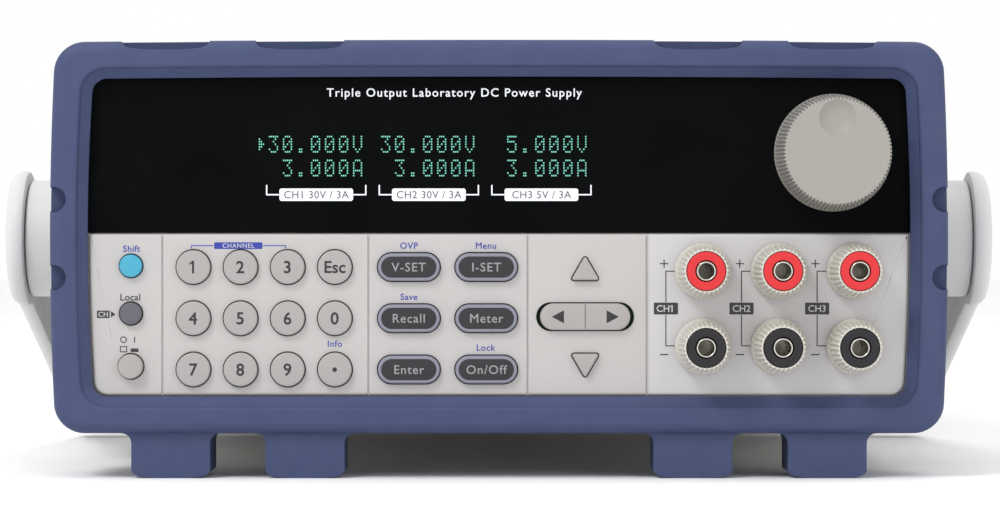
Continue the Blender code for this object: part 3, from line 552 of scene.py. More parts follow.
class BumperLook(PropertyGroup):
    """The rubber frames round both ends."""

    colour: tint("Rubber", "Colour of the rubber", ink(57, 67, 102))
    wall_side: length("Side wall", "Rubber beside the case", 5.7 * MM)
    wall_top: length("Top wall", "Rubber above and below the case", 5.1 * MM)
    bow: length("Side bow", "How far the sides swell at their middle", 1.4 * MM)
    corner: length("Corner", "Radius of the outer corners", 7.3 * MM)
    edge: length("Edge", "Radius of the outer front edge", 3.0 * MM)
    opening_side: length("Opening at the sides", "How far the lip covers the case's sides", 3.7 * MM)
    opening_top: length("Opening at the top", "How far the lip covers the case's top and bottom", 4.1 * MM)
    opening_corner: length("Opening corner", "Radius of the opening's corners", 3.4 * MM)
    slope: length("Slope", "Width of the sloped edge of the opening", 2.3 * MM)
    foot_width: length("Foot width", "Width of one foot", 19.8 * MM)
    foot_depth: length("Foot depth", "How far a foot reaches back", 20.0 * MM)
    foot_flat: length("Foot flat", "Width of the part that a foot rests on", 4.0 * MM)
    foot_sag: length("Foot rise", "How far the sides of a foot's underside rise", 1.8 * MM)
    foot_flare: length("Foot root", "Round root of a foot", 2.5 * MM)
    foot_inner: length("Inner foot", "Distance of the inner feet from the middle", 48.8 * MM)
    foot_outer: length("Outer foot", "Distance of the outer feet from the middle", 82.6 * MM)
    pocket_width: length("Recess width", "Width of a stacking recess", 22.4 * MM)
    pocket_deep: length("Recess depth", "Deepest point of a stacking recess", 2.6 * MM)
    pocket_reach: length("Recess reach", "How far a recess reaches back", 8.0 * MM)
    notch_height: length("Notch height", "Height of a side notch", 6.4 * MM)
    notch_deep: length("Notch depth", "How deep a side notch cuts the outline", 1.15 * MM)
    notch_reach: length("Notch reach", "How far a notch reaches back", 5.0 * MM)
    notch_up: length("Upper notch", "Height of the upper notch over the middle", 9.6 * MM)
    notch_down: length("Lower notch", "Depth of the lower notch under the middle", 10.0 * MM)


class PanelLook(PropertyGroup):
    """The front panel and its printing."""

    colour: tint("Panel", "Colour of the panel's plastic", ink(181, 178, 177))
    terminal_colour: tint("Terminal area", "Colour of the panel round the outputs", ink(192, 190, 191))
    legend: tint("Legend", "Colour of the dark printing", ink(46, 44, 50))
    shifted_legend: tint("Shifted legend", "Colour of the printing of second functions", ink(44, 54, 150))
    ledge: length("Ledge", "How far the key field stands ahead of the window", 1.0 * MM)
    ledge_up: length("Ledge height", "Height of the ledge over the middle", 1.0 * MM)
    roll: length("Rolled edge", "Radius of the key field's edge", 0.9 * MM)
    groove_width: length("Groove width", "Width of the grooves between the fields", 0.5 * MM)
    groove_deep: length("Groove depth", "Depth of those grooves", 0.4 * MM)
    key_room: length("Key clearance", "Gap round a key", 0.3 * MM)
    rocker_room: length("Rocker clearance", "Gap at the rocker's ends", 1.0 * MM)


class KeyLook(PropertyGroup):
    """The keys."""

    colour: tint("Keys", "Colour of the light keys", ink(160, 156, 155))
    rim: tint("Oval key rim", "Colour of the rim of an oval key", ink(126, 126, 140))
    dark: tint("Oval key face", "Colour of the face of an oval key", ink(30, 30, 35))
    shift: tint("Shift key", "Colour of the shift key", ink(62, 155, 184))
    local: tint("Local key", "Colour of the local key", ink(88, 86, 95))
    power: tint("Power button", "Colour of the power button", ink(158, 154, 151))
    print_dark: tint("Dark printing", "Colour of the numerals", ink(34, 32, 36))
    print_light: tint("Light printing", "Colour of the words on the oval keys", ink(140, 141, 143))
    edge: length("Key edge", "Radius of a key's face edge", 0.45 * MM)
    arrow_width: length("Arrow width", "Width of an arrow key's face", 7.2 * MM)
    arrow_height: length("Arrow height", "Height of an arrow key's face", 6.2 * MM)
    inlay_inset: length("Oval key rim", "Width of the rim of an oval key", 0.85 * MM)
    numeral: length("Numeral", "Height of a numeral", 3.15 * MM)
    word: length("Word", "Height of the letters on an oval key", 2.3 * MM)


class KnobLook(PropertyGroup):
    """The knob."""

    colour: tint("Knob", "Colour of the knob", ink(150, 147, 142))
    flutes: IntProperty(name="Flutes", description="Number of fine flutes round the knob", default=88, min=12)
    flute: length("Flute depth", "Depth of a flute", 0.42 * MM)
    face_diameter: length("Face diameter", "Diameter of the knob's face", 26.4 * MM)
    dimple: length("Finger dimple", "Diameter of the dimple", 9.3 * MM)
    dimple_up: length("Dimple place", "Distance of the dimple from the knob's axis", 8.3 * MM)


class PostLook(PropertyGroup):
    """The binding posts."""

    colour: tint("Nut", "Colour of the nuts", ink(204, 200, 191))
    red: tint("Positive ring", "Colour of the positive rings", ink(202, 42, 46))
    black: tint("Negative ring", "Colour of the negative rings", ink(28, 26, 31))
    metal: tint("Sockets", "Colour of the sockets' plating", ink(205, 202, 192))
    face: length("Nut face", "Diameter of a nut's face", 10.7 * MM)
    flutes: IntProperty(name="Flutes", description="Number of flutes round a nut", default=30, min=8)
    flute: length("Flute depth", "Depth of a flute", 0.35 * MM)
    tube: length("Socket tube", "Outer diameter of the socket", 4.8 * MM)
    bore: length("Socket bore", "Bore of the socket", 4.0 * MM)


class DisplayLook(PropertyGroup):
    """The window and the lit characters behind it."""

    lit: tint("Lit dots", "Colour of the lit dots", ink(122, 214, 190))
    strength: FloatProperty(name="Strength", description="Strength of the lit dots", default=0.62, min=0.0)
    window: tint("Window", "Colour of the window", ink(9, 10, 11))
    white: tint("White printing", "Colour of the title and the brackets", ink(232, 234, 240))
    grey: tint("Grey printing", "Colour of the words on the brackets", ink(92, 94, 104))
    left: FloatProperty(name="Left", description="Place of the first column of dots", default=-61.4 * MM,
                        unit="LENGTH")
    pitch: length("Character pitch", "Distance from one character to the next", 3.536 * MM)
    dot_across: length("Dot pitch across", "Distance of the dots across", 0.49 * MM)
    dot_up: length("Dot pitch up", "Distance of the dots up", 0.64 * MM)
    title: StringProperty(name="Title", description="Generic title on the window",
                          default="Triple Output Laboratory DC Power Supply")


class HandleLook(PropertyGroup):
    """The carrying handle and its hubs."""

    colour: tint("Handle", "Colour of the handle", ink(205, 205, 205))
    plate: length("Plate", "Thickness of the discs and arms", 4.8 * MM)
    disc: length("Disc", "Diameter of the disc on the pivot", 36.0 * MM)
    arm: length("Arm", "Width of an arm at the disc", 30.0 * MM)
    arm_end: length("Arm end", "Width of an arm at the grip", 15.0 * MM)
    reach: length("Reach", "Distance from the pivot to the grip", 148.0 * MM)
    grip: length("Grip", "Diameter of the grip", 13.0 * MM)
    drop: FloatProperty(name="Drop", description="Angle of the stowed arms", default=math.radians(20.4),
                        unit="ROTATION")
    edge: length("Edge", "Radius of the plate's outer edge", 3.2 * MM)


class CaseLook(PropertyGroup):
    """The sheet metal, the back and the inside."""

    paint: tint("Paint", "Colour of the case's paint", ink(178, 178, 180))
    steel: tint("Steel", "Colour of plated steel", ink(200, 200, 194))
    black: tint("Black plastic", "Colour of the fan and the inlet", ink(46, 46, 48))
    board: tint("Boards", "Colour of the circuit boards", ink(34, 96, 58))


class StageLook(PropertyGroup):
    """The floor, the lights and the camera."""

    floor: tint("Floor", "Colour of the floor", (0.95, 0.95, 0.95))
    camera_back: length("Camera distance", "Distance of the camera from the front panel", 0.9)
    camera_up: length("Camera height", "Height of the camera over the floor", 57.4 * MM)
    lens: FloatProperty(name="Lens", description="Focal length in millimetres", default=128.6, min=10.0)
    shift_x: FloatProperty(name="Shift across", description="Sideways shift of the picture", default=0.001)
    shift_y: FloatProperty(name="Shift up", description="Upward shift of the picture", default=-0.010)
    sky: tint("Sky", "Colour of the surroundings", (1.0, 1.0, 1.0))
    world: FloatProperty(name="Surroundings", description="Brightness of the surroundings", default=1.0,
                         min=0.0)
    key: FloatProperty(name="Key light", description="Power of the light at the left", default=10.0, min=0.0)
    top: FloatProperty(name="Top light", description="Power of the light overhead", default=4.0, min=0.0)
    fill: FloatProperty(name="Fill light", description="Power of the light at the right", default=2.0,
                        min=0.0)


# Bumpers.
def bowed(width, height, radius, side_bow, top_bow):
    """A rounded rectangle whose sides and top swell a little outward."""
    points = []
    for u, v in rounded(width, height, radius, 10, 12):
        side = 1 + 2 * side_bow / width * (1 - (2 * v / height) ** 2)
        top = 1 + 2 * top_bow / height * (1 - (2 * u / width) ** 2)
        points.append((u * side, v * top if v > 0 else v))
    return points


def sagging(width, flat, sag, deep=0.0, steps=10):
    """A sagging arc from the left end to the right, flat over its lowest part."""
    half, inner = width / 2, flat / 2
    right = []
    for i in range(steps + 1):
        share = math.sin(math.pi / 2 * i / steps)
        rise = 0.4 * share ** 2 + 0.6 * share ** 12
        right.append((inner + (half - inner) * share, sag * rise - deep))
    return [(-u, v) for u, v in right[::-1]] + right


def foot_solid(look, x, y0, y1, height):
    """One foot, whose sides turn outward in a round root where they meet the frame."""
    half, root = look.foot_width / 2, look.foot_flare
    outline = sagging(look.foot_width, look.foot_flat, look.foot_sag)
    bend = [math.pi / 2 * i / 6 for i in range(7)]
    side = [(half + root - root * math.cos(a), height - root + root * math.sin(a)) for a in bend]
    side.append((half + root, height + look.wall_top / 3))
    return prism(outline + side + [(-u, v) for u, v in side[::-1]], y0, y1, x)


def pocket_solid(look, x, y0, y1, top):
    """What a stacking recess takes out of the top."""
    half = look.pocket_width / 2
    outline = sagging(look.pocket_width, look.foot_flat, look.foot_sag * 1.1, look.pocket_deep)
    return prism(outline + [(half, look.wall_top), (-half, look.wall_top)], y0, y1, x, top)


def bumper(name, look, material, panel_y, inward):
    """A rubber frame round one end of the case. inward is +1 where the case lies at higher y."""
    low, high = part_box(name)
    face_y, wrap_y = (low.y, high.y) if inward > 0 else (high.y, low.y)
    width = CASE_W + 2 * look.wall_side - 2 * look.bow
    height = CASE_H + 2 * look.wall_top
    top_bow = high.z - MID_Z - height / 2
    sections = []
    for inset, depth in quarter(look.edge, 8)[::-1]:
        outline = bowed(width - 2 * inset, height - 2 * inset, look.corner - inset, look.bow, top_bow)
        sections.append(along_y(outline, face_y + inward * depth, 0, MID_Z))
    open_w = CASE_W - 2 * look.opening_side - 2 * look.bow
    open_h = CASE_H - 2 * look.opening_top
    lip_y = panel_y - inward * GAP
    turn = look.slope * 0.45
    edge = [(look.slope + inset, face_y + inward * depth) for inset, depth in quarter(turn, 4)]
    for grow, y in edge + [(0.0, panel_y - inward * 0.0015), (0.0, lip_y)]:
        outline = bowed(open_w + 2 * grow, open_h + 2 * grow, look.opening_corner + grow, look.bow, top_bow)
        sections.append(along_y(outline, y, 0, MID_Z))
    hollow = rounded(CASE_W + 2 * GAP, CASE_H + 2 * GAP, 3.0 * MM + GAP, 10, 12)
    sections += [along_y(hollow, lip_y, 0, MID_Z), along_y(hollow, wrap_y, 0, MID_Z)]
    for inset, depth in quarter(1.2 * MM, 4):
        outline = bowed(width - 2 * inset, height - 2 * inset, look.corner - inset, look.bow, top_bow)
        sections.append(along_y(outline, wrap_y - inward * depth, 0, MID_Z))
    obj = bare_object(f"{name}_rubber", loft(sections, ring=True))

    under = MID_Z - height / 2
    feet_x = [side * x for x in (look.foot_inner, look.foot_outer) for side in (-1, 1)]
    near, far = sorted((face_y + inward * look.edge, face_y + inward * (look.edge + look.foot_depth)))
    combine(obj, joined([foot_solid(look, x, near, far, under) for x in feet_x]), "UNION")
    near, far = sorted((face_y - inward * look.edge, face_y + inward * look.pocket_reach))
    shift = (look.pocket_width - look.foot_width) / 2
    pockets = [pocket_solid(look, x + math.copysign(shift, x), near, far, high.z) for x in feet_x]
    combine(obj, joined(pockets), "DIFFERENCE")
    near, far = sorted((face_y - inward * look.edge, face_y + inward * look.notch_reach))
    scoop_x = CASE_W / 2 + look.wall_side - look.notch_deep
    places = [(side * scoop_x, z) for side in (-1, 1) for z in (look.notch_up, -look.notch_down)]
    scoop = circle(look.notch_height, 40)
    combine(obj, joined([prism(scoop, near, far, x, MID_Z + z) for x, z in places]), "DIFFERENCE")
    soften(obj, 0.3 * MM, 2, 50)
    return piece(f"{name}_rubber", obj, material, "root", [name])


# Front panel.
def key_field(look, bumper_look):
    """The outline of the raised field under the window, filling the lower part of the bumper's opening."""
    shy = 0.12 * MM
    width = CASE_W - 2 * bumper_look.opening_side - 2 * bumper_look.bow - 2 * shy
    height = CASE_H - 2 * bumper_look.opening_top - 2 * shy
    opening = bowed(width, height, bumper_look.opening_corner, bumper_look.bow, 0.0)
    corner = 0.5 * MM
    right = [(u, v) for u, v in opening if u > 0 and v < look.ledge_up - 2 * corner]
    right.sort(key=lambda point: math.atan2(point[1] + height / 4, point[0]))
    edge_u = right[-1][0]
    for i in range(5):
        angle = math.pi / 2 * i / 4
        inset_u, inset_v = corner - corner * math.cos(angle), corner - corner * math.sin(angle)
        right.append((edge_u - inset_u, look.ledge_up - inset_v))
    return right + [(-u, v) for u, v in right[::-1]]


def key_face(node):
    """(width, height) of the face of a round or oval key, without the flange behind it."""
    size = extent(node)
    return size.x - 2 * KEY_FLANGE_REACH, size.z - 2 * KEY_FLANGE_REACH


def arrow_face(node, look):
    """(outline, x, z) of an arrow key's face, a triangle with round corners."""
    up = node == "key_up"
    sign = 1 if up else -1
    half, tall = look.arrow_width / 2, look.arrow_height / 2
    corners = [(-half, -sign * tall), (half, -sign * tall), (0.0, sign * tall)]
    low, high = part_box(node)
    base = low.z + KEY_FLANGE_REACH if up else high.z - KEY_FLANGE_REACH
    return soft_polygon(corners if up else corners[::-1], 0.45 * MM), middle(node).x, base + sign * tall


def panel_holes(look, key_look):
    """What the keys and the posts take out of the front panel."""
    near, far = FACE_Y - 5 * MM, FACE_Y + 12 * MM
    found = []
    for node in list(ROUND_KEYS) + ["key_shift", "key_local", "key_power"]:
        place = middle(node)
        found.append(prism(circle(key_face(node)[0] + 2 * look.key_room), near, far, place.x, place.z))
    for node in OVAL_KEYS:
        place = middle(node)
        width, height = (size + 2 * look.key_room for size in key_face(node))
        found.append(prism(stadium(width, height), near, far, place.x, place.z))
    for node in ("key_up", "key_down"):
        outline, x, z = arrow_face(node, key_look)
        found.append(prism(grown(outline, look.key_room), near, far, x, z))
    place, size = middle("key_left_right"), extent("key_left_right")
    height = size.z + 2 * look.key_room
    slot = stadium(size.x + 2 * look.rocker_room, height)
    found.append(prism(slot, near, far, place.x, place.z))
    for name in POST_NAMES:
        place = middle(f"nut_{name}")
        found.append(prism(circle(extent(f"ring_{name}").x * 0.56), near, far, place.x, place.z))
    return found


def panel_body(look, key_look, bumper_look, material):
    """The moulded tray: the raised key field on its lower half, the window's recess in its upper half."""
    base_y, skirt_y, back_y = FACE_Y + look.ledge, PANEL_HIGH.y, FACE_Y + PANEL_T
    outer = rounded(CASE_W, CASE_H, 3.0 * MM)
    inner = rounded(CASE_W - 4 * MM, CASE_H - 4 * MM, 1.0 * MM)
    places = ((outer, base_y), (outer, skirt_y), (inner, skirt_y), (inner, back_y))
    obj = bare_object("front_panel_shell", loft([along_y(outline, y, 0, MID_Z) for outline, y in places]))
    field = soft_faced(key_field(look, bumper_look), FACE_Y, base_y + 0.5 * MM, look.roll, 0, MID_Z, 6)
    combine(obj, field, "UNION")
    top, foot = MID_Z + look.ledge_up + GAP, MID_Z - CASE_H / 2
    half, near, deep = look.groove_width / 2, FACE_Y - look.groove_deep, FACE_Y + look.groove_deep
    for x in GROOVES:
        combine(obj, box((x - half, near, foot), (x + half, deep, top)), "DIFFERENCE")
    low = (WINDOW_LOW.x - GAP, FACE_Y - 5 * MM, WINDOW_LOW.z - GAP)
    combine(obj, box(low, (WINDOW_HIGH.x + GAP, WINDOW_HIGH.y + GAP, WINDOW_HIGH.z + GAP)), "DIFFERENCE")
    glass_low, glass_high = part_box("display_module")
    hole = box((glass_low.x, WINDOW_LOW.y, glass_low.z), (glass_high.x, back_y + GAP, glass_high.z))
    bush = middle("encoder_body")
    bush_hole = prism(circle(9.6 * MM), WINDOW_LOW.y, back_y + GAP, bush.x, bush.z)
    combine(obj, joined([hole, bush_hole]), "DIFFERENCE")
    combine(obj, joined(panel_holes(look, key_look)), "DIFFERENCE")
    soften(obj, 0.12 * MM, 2, 45)
    return piece("front_panel_shell", obj, material, "root", ["front_panel"])


def stroke(x0, z0, x1, z1, y):
    """A flat printed rectangle that faces the front."""
    return box((x0, y - PRINT_T / 2, z0), (x1, y + PRINT_T / 2, z1))


def line(x0, z0, x1, z1, thick, y):
    """A printed line, upright or level."""
    half = thick / 2
    return stroke(min(x0, x1) - half, min(z0, z1) - half, max(x0, x1) + half, max(z0, z1) + half, y)


def mark(name, solids, material, body="root"):
    return piece(name, joined(solids), material, body, (), 80)


def patch(outline, x, z, y):
    """A thin printed area on a face at y."""
    return prism(outline, y - PRINT_T / 2, y + PRINT_T / 2, x, z)


def panel_legends(dark, blue, light):
    """The printing on the key field and round the outputs."""
    y = FACE_Y
    thin, thick = 0.25 * MM, 0.3 * MM
    found = [glyphs(words, size, x, MID_Z + z, y, 1.04, 0.04 * MM) for words, size, x, z in DARK_WORDS]
    tip_x, tag_x, tag_z = SIDE_X - 3.9 * MM, SIDE_X - 7.0 * MM, MID_Z - 19.3 * MM
    arrow = [(-0.6 * MM, -0.85 * MM), (0.6 * MM, 0.0), (-0.6 * MM, 0.85 * MM)]
    found.append(patch(arrow, tip_x - 0.6 * MM, tag_z, y))
    found.append(stroke(tag_x - 1.6 * MM, tag_z - 0.95 * MM, tag_x + 1.6 * MM, tag_z + 0.95 * MM, y))
    off_x, on_x, state_z = SIDE_X - 1.9 * MM, SIDE_X + 0.9 * MM, MID_Z - 25.7 * MM
    ring = [along_y(circle(d * MM, 32), level, off_x, state_z)
            for d, level in ((1.7, y), (1.7, y - PRINT_T / 2), (1.15, y - PRINT_T / 2), (1.15, y))]
    found.append(loft(ring, ring=True))
    found.append(line(on_x, state_z - 0.6 * MM, on_x, state_z + 0.6 * MM, thick, y))
    box_z = state_z - 2.4 * MM
    for dz in (-0.65 * MM, 0.65 * MM):
        found.append(line(off_x - 0.8 * MM, box_z + dz, off_x + 0.8 * MM, box_z + dz, thin, y))
    for dx in (-0.8 * MM, 0.8 * MM):
        found.append(line(off_x + dx, box_z - 0.4 * MM, off_x + dx, box_z + 0.4 * MM, thin, y))
    found.append(stroke(on_x - 1.0 * MM, box_z - 0.7 * MM, on_x + 1.0 * MM, box_z + 0.2 * MM, y))

    labels, label = [], 1.75 * MM
    upper, lower = middle("nut_positive_1").z, middle("nut_negative_1").z
    centre = (upper + lower) / 2
    for column in (1, 2, 3):
        x = middle(f"nut_positive_{column}").x - 9.3 * MM
        sign_x, sign_z = x - 0.45 * MM, 11.3 * MM
        left, right = sign_x - 0.9 * MM, sign_x + 0.9 * MM
        found.append(line(left, centre + sign_z, right, centre + sign_z, thick, y))
        for side in (-1, 1):
            place = centre + sign_z + side * 0.6 * MM
            found.append(line(sign_x, place - 0.3 * MM, sign_x, place + 0.3 * MM, thick, y))
        minus_z = centre - sign_z - 0.3 * MM
        found.append(line(left, minus_z, right, minus_z, 0.32 * MM, y))
        for side in (-1, 1):
            end = centre + side * 9.4 * MM
            found.append(line(x, centre + side * 1.75 * MM, x, end - side * 0.3 * MM, 0.28 * MM, y))
            found.append(line(x, end, x + 2.1 * MM, end, 0.28 * MM, y))
        found.append(patch(rounded(6.1 * MM, 3.0 * MM, 0.25 * MM), x, centre, y))
        words = "CH" if column == 1 else f"CH{column}"
        shift = 0.7 * MM if column == 1 else 0.0
        labels.append(glyphs(words, label, x - shift, centre, y - PRINT_T, 1.0, 0.03 * MM))
        if column == 1:
            labels.append(one(label, x + 1.55 * MM, centre, y - PRINT_T))
    mark("panel_dark_print", found, dark)

    words = [glyphs(text, 1.65 * MM, x, MID_Z + z, y, 1.08, 0.035 * MM) for text, x, z in BLUE_WORDS]
    first, last = middle("key_1").x - 0.6 * MM, middle("key_3").x - 0.6 * MM
    bar_z, centre_x = MID_Z - 2.0 * MM, (first + last) / 2
    words += [line(end, bar_z - 0.6 * MM, end, bar_z - 0.3 * MM, thin, y) for end in (first, last)]
    words.append(line(first, bar_z, centre_x - 6.4 * MM, bar_z, thin, y))
    words.append(line(centre_x + 6.4 * MM, bar_z, last, bar_z, thin, y))
    words.append(patch(rounded(12.2 * MM, 1.7 * MM, 0.3 * MM), centre_x, bar_z, y))
    mark("panel_blue_print", words, blue)
    labels.append(glyphs("CH", 1.3 * MM, tag_x, tag_z, y - PRINT_T, 1.0, 0.01 * MM))
    labels.append(glyphs("CHANNEL", 1.15 * MM, centre_x, bar_z, y - PRINT_T, 1.15, 0.01 * MM))
    mark("panel_light_print", labels, light)


# Window and display.
def window_print(look, white, grey):
    """The title and the brackets on the window."""
    y = WINDOW_LOW.y
    found = [glyphs(look.title, 2.2 * MM, -11.3 * MM, MID_Z + 36.3 * MM, y, 1.17, 0.04 * MM)]
    labels, weight = [], 0.33 * MM
    for index, words in enumerate(RATINGS):
        x = (-46.1 + 28.4 * index) * MM
        bar_z = MID_Z + 10.85 * MM
        for side in (-1, 1):
            end = x + side * 12.5 * MM
            found.append(line(end, bar_z + 0.3 * MM, end, bar_z + 2.3 * MM, weight, y))
            found.append(line(end, bar_z, x + side * 9.5 * MM, bar_z, weight, y))
        found.append(patch(rounded(18.6 * MM, 3.15 * MM, 0.6 * MM), x, bar_z, y))
        labels.append(glyphs(words, 1.95 * MM, x, bar_z, y - PRINT_T, 1.06, 0.02 * MM))
    mark("window_white_print", found, white)
    mark("window_grey_print", labels, grey)


def lit_dots(look, material):
    """Two rows of dot-matrix characters."""
    dots = []
    wide, tall = look.dot_across * 0.7, look.dot_up * 0.62
    for words, top in zip(READOUT, (25.5 * MM, 19.5 * MM)):
        for column, letter in enumerate(words):
            for row, cells in enumerate(DOTS.get(letter, "").split()):
                for cell, state in enumerate(cells):
                    if state == "#":
                        x = look.left + column * look.pitch + cell * look.dot_across
                        z = MID_Z + top - row * look.dot_up
                        y = WINDOW_LOW.y
                        outline = rounded(wide, tall, wide * 0.3, 2)
                        dots.append(prism(outline, y - PRINT_T / 2, y + PRINT_T / 2, x, z))
    mark("display_dots", dots, material)


# Keys.
def key_body(node, outline, x, z, look, material):
    """A key with a round face edge, its body through the panel and the flange behind it, with any rod."""
    low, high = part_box(node)
    back_y = FACE_Y + PANEL_T + GAP
    rims = quarter(look.edge, 5)
    sections = [along_y(grown(outline, -inset), low.y + depth, x, z) for inset, depth in rims]
    sections += [along_y(outline, back_y, x, z)]
    flange = grown(outline, KEY_FLANGE_REACH)
    sections += [along_y(flange, back_y, x, z), along_y(flange, back_y + KEY_FLANGE, x, z)]
    if high.y > back_y + 2 * KEY_FLANGE:
        rod = circle(3.0 * MM, len(outline))
        sections += [along_y(rod, back_y + KEY_FLANGE, x, z), along_y(rod, high.y, x, z)]
    return piece(f"{node}_cap", loft(sections), material, node, [node])


def round_keys(look, light, dark):
    """The number keys, with their numerals."""
    for node, words in ROUND_KEYS.items():
        place, face_y = middle(node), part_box(node)[0].y
        obj = key_body(node, circle(key_face(node)[0]), place.x, place.z, look, light)
        if words:
            size = look.numeral if len(words) == 1 else look.numeral * 0.98
            shape = (size, place.x, place.z, face_y)
            solid = one(*shape) if words == "1" else glyphs(words, *shape, 1.0, 0.075 * MM)
        else:
            solid = prism(circle(1.2 * MM, 24), face_y - PRINT_T / 2, face_y + PRINT_T / 2, place.x, place.z)
        mark(f"{node}_numeral", [solid], dark, node)


def oval_keys(look, rim, face, light):
    """The function keys: a pale rim round a dark inlay with its word."""
    for node, words in OVAL_KEYS.items():
        place, face_y = middle(node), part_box(node)[0].y
        width, height = key_face(node)
        outline = stadium(width, height)
        obj = key_body(node, outline, place.x, place.z, look, rim)
        inset = look.inlay_inset
        inner = stadium(width - 2 * inset, height - 2 * inset)
        inlay = soft_faced(inner, face_y, face_y + 0.5 * MM, 0.12 * MM, place.x, place.z, 3)
        bed = prism(grown(inner, 0.03 * MM), face_y - MM, face_y + 0.12 * MM, place.x, place.z)
        combine(obj, bed, "DIFFERENCE")
        piece(f"{node}_inlay", inlay, face, node)
        word = glyphs(words, look.word, place.x, place.z, face_y, 1.12, 0.03 * MM)
        mark(f"{node}_word", [word], light, node)


def arrow_keys(look, light, dark):
    """The up and down keys, and the rocker with its two arrows."""
    for node in ("key_up", "key_down"):
        outline, x, z = arrow_face(node, look)
        key_body(node, outline, x, z, look, light)
    node = "key_left_right"
    low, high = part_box(node)
    place, size = middle(node), extent(node)
    outline = stadium(size.x, size.z)
    obj = bare_object("rocker_cap", soft_faced(outline, low.y, high.y, look.edge, place.x, place.z))
    half = 0.14 * MM
    far_corner = (place.x + half, low.y + 0.3 * MM, high.z + MM)
    combine(obj, box((place.x - half, low.y - MM, low.z - MM), far_corner), "DIFFERENCE")
    piece("rocker_cap", obj, light, node, [node])
    tip, back, tall = 1.75 * MM, 1.35 * MM, 1.65 * MM
    near, far = low.y - PRINT_T / 2, low.y + PRINT_T / 2
    for name, side in (("left", -1), ("right", 1)):
        arrow = [(-side * back, -side * tall), (side * tip, 0.0), (-side * back, side * tall)]
        solid = prism(arrow, near, far, place.x + side * 6.7 * MM, place.z)
        mark(f"rocker_arrow_{name}", [solid], dark, node)


def side_keys(look, finishes):
    """The shift key, the local key and the power button."""
    for node, material, slot in finishes:
        place = middle(node)
        obj = key_body(node, circle(key_face(node)[0]), place.x, place.z, look, material)


# Knob.
def ribbed(diameter, deep, count, per=4):
    """A circle with fine flutes cut into it."""
    points = []
    for i in range(count * per):
        radius = diameter / 2 - (deep if i % per in (2, 3) else 0.0)
        angle = math.tau * (i + (0.25 if i % 2 else -0.0)) / (count * per)
        points.append((radius * math.cos(angle), radius * math.sin(angle)))
    return points


def knob_body(look, material):
    """The fluted knob with the finger dimple in its face and the bore for its shaft."""
    low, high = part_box("knob")
    x, z = middle("knob").x, middle("knob").z
    count = look.flutes * 4
    base, face = high.x - low.x, look.face_diameter
    sections = [
        along_y(circle(base - 0.8 * MM, count), high.y, x, z),
        along_y(circle(base, count), high.y - 0.4 * MM, x, z),
        along_y(circle(base, count), high.y - 1.3 * MM, x, z),
        along_y(ribbed(base - 0.1 * MM, look.flute, look.flutes), high.y - 1.7 * MM, x, z),
        along_y(ribbed(face + 0.7 * MM, look.flute, look.flutes), low.y + 0.9 * MM, x, z),
    ]
    for inset, depth in quarter(0.6 * MM, 5)[::-1]:
        share = 1 - inset / (0.6 * MM)
        rim = ribbed(face + 0.6 * MM - 2 * inset, look.flute * share, look.flutes)
        sections.append(along_y(rim, low.y + depth, x, z))
    sections.append(along_y(circle(face - 1.2 * MM, count), low.y, x, z))
    obj = bare_object("knob_body", loft(sections))
    deep, radius = 1.7 * MM, look.dimple / 2
    bowl = [(2 * MM * 0.01, low.y + deep)]
    bowl += [(2 * radius * i / 12, low.y + deep * (1 - (i / 12) ** 3)) for i in range(1, 13)]
    bowl += [(2 * radius + 0.5 * MM, low.y - 0.12 * MM), (2 * radius + 0.5 * MM, low.y - MM)]
    combine(obj, turned(bowl, x, z + look.dimple_up, 72), "DIFFERENCE")
    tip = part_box("encoder_shaft")[0].y - GAP
    bore = turned(((6.6 * MM, tip), (6.6 * MM, high.y + MM)), x, z, 40)
    combine(obj, bore, "DIFFERENCE")
    return piece("knob_body", obj, material, "knob", ["knob"], 30)


# Binding posts.
def nut_body(name, look, material):
    """A fluted nut: a round skirt on the panel, a ribbed cone, and a seat for the coloured ring."""
    low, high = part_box(f"nut_{name}")
    ring = extent(f"ring_{name}")
    x, z = middle(f"nut_{name}").x, middle(f"nut_{name}").z
    base, count = high.x - low.x, look.flutes * 4
    bore, seat = look.tube + 2 * GAP, ring.x + 0.3 * MM
    skirt_y, seat_y = high.y - 3.0 * MM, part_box(f"ring_{name}")[1].y + GAP
    sections = [
        along_y(circle(bore, count), high.y, x, z),
        along_y(circle(base - 0.8 * MM, count), high.y, x, z),
        along_y(circle(base, count), high.y - 0.4 * MM, x, z),
        along_y(circle(base, count), skirt_y + 0.6 * MM, x, z),
        along_y(circle(base - 0.5 * MM, count), skirt_y, x, z),
        along_y(ribbed(base - 0.7 * MM, look.flute, look.flutes), skirt_y - 0.4 * MM, x, z),
        along_y(ribbed(look.face + 0.5 * MM, look.flute, look.flutes), low.y + 0.5 * MM, x, z),
    ]
    for inset, depth in quarter(0.35 * MM, 4)[::-1]:
        rim = ribbed(look.face + 0.4 * MM - 2 * inset, look.flute * 0.7, look.flutes)
        sections.append(along_y(rim, low.y + depth, x, z))
    sections += [
        along_y(circle(seat + 0.1 * MM, count), low.y, x, z),
        along_y(circle(seat, count), low.y + 0.1 * MM, x, z),
        along_y(circle(seat, count), seat_y, x, z),
        along_y(circle(bore, count), seat_y, x, z),
    ]
    node = f"nut_{name}"
    return piece(f"{node}_body", loft(sections, ring=True), material, node, [node])


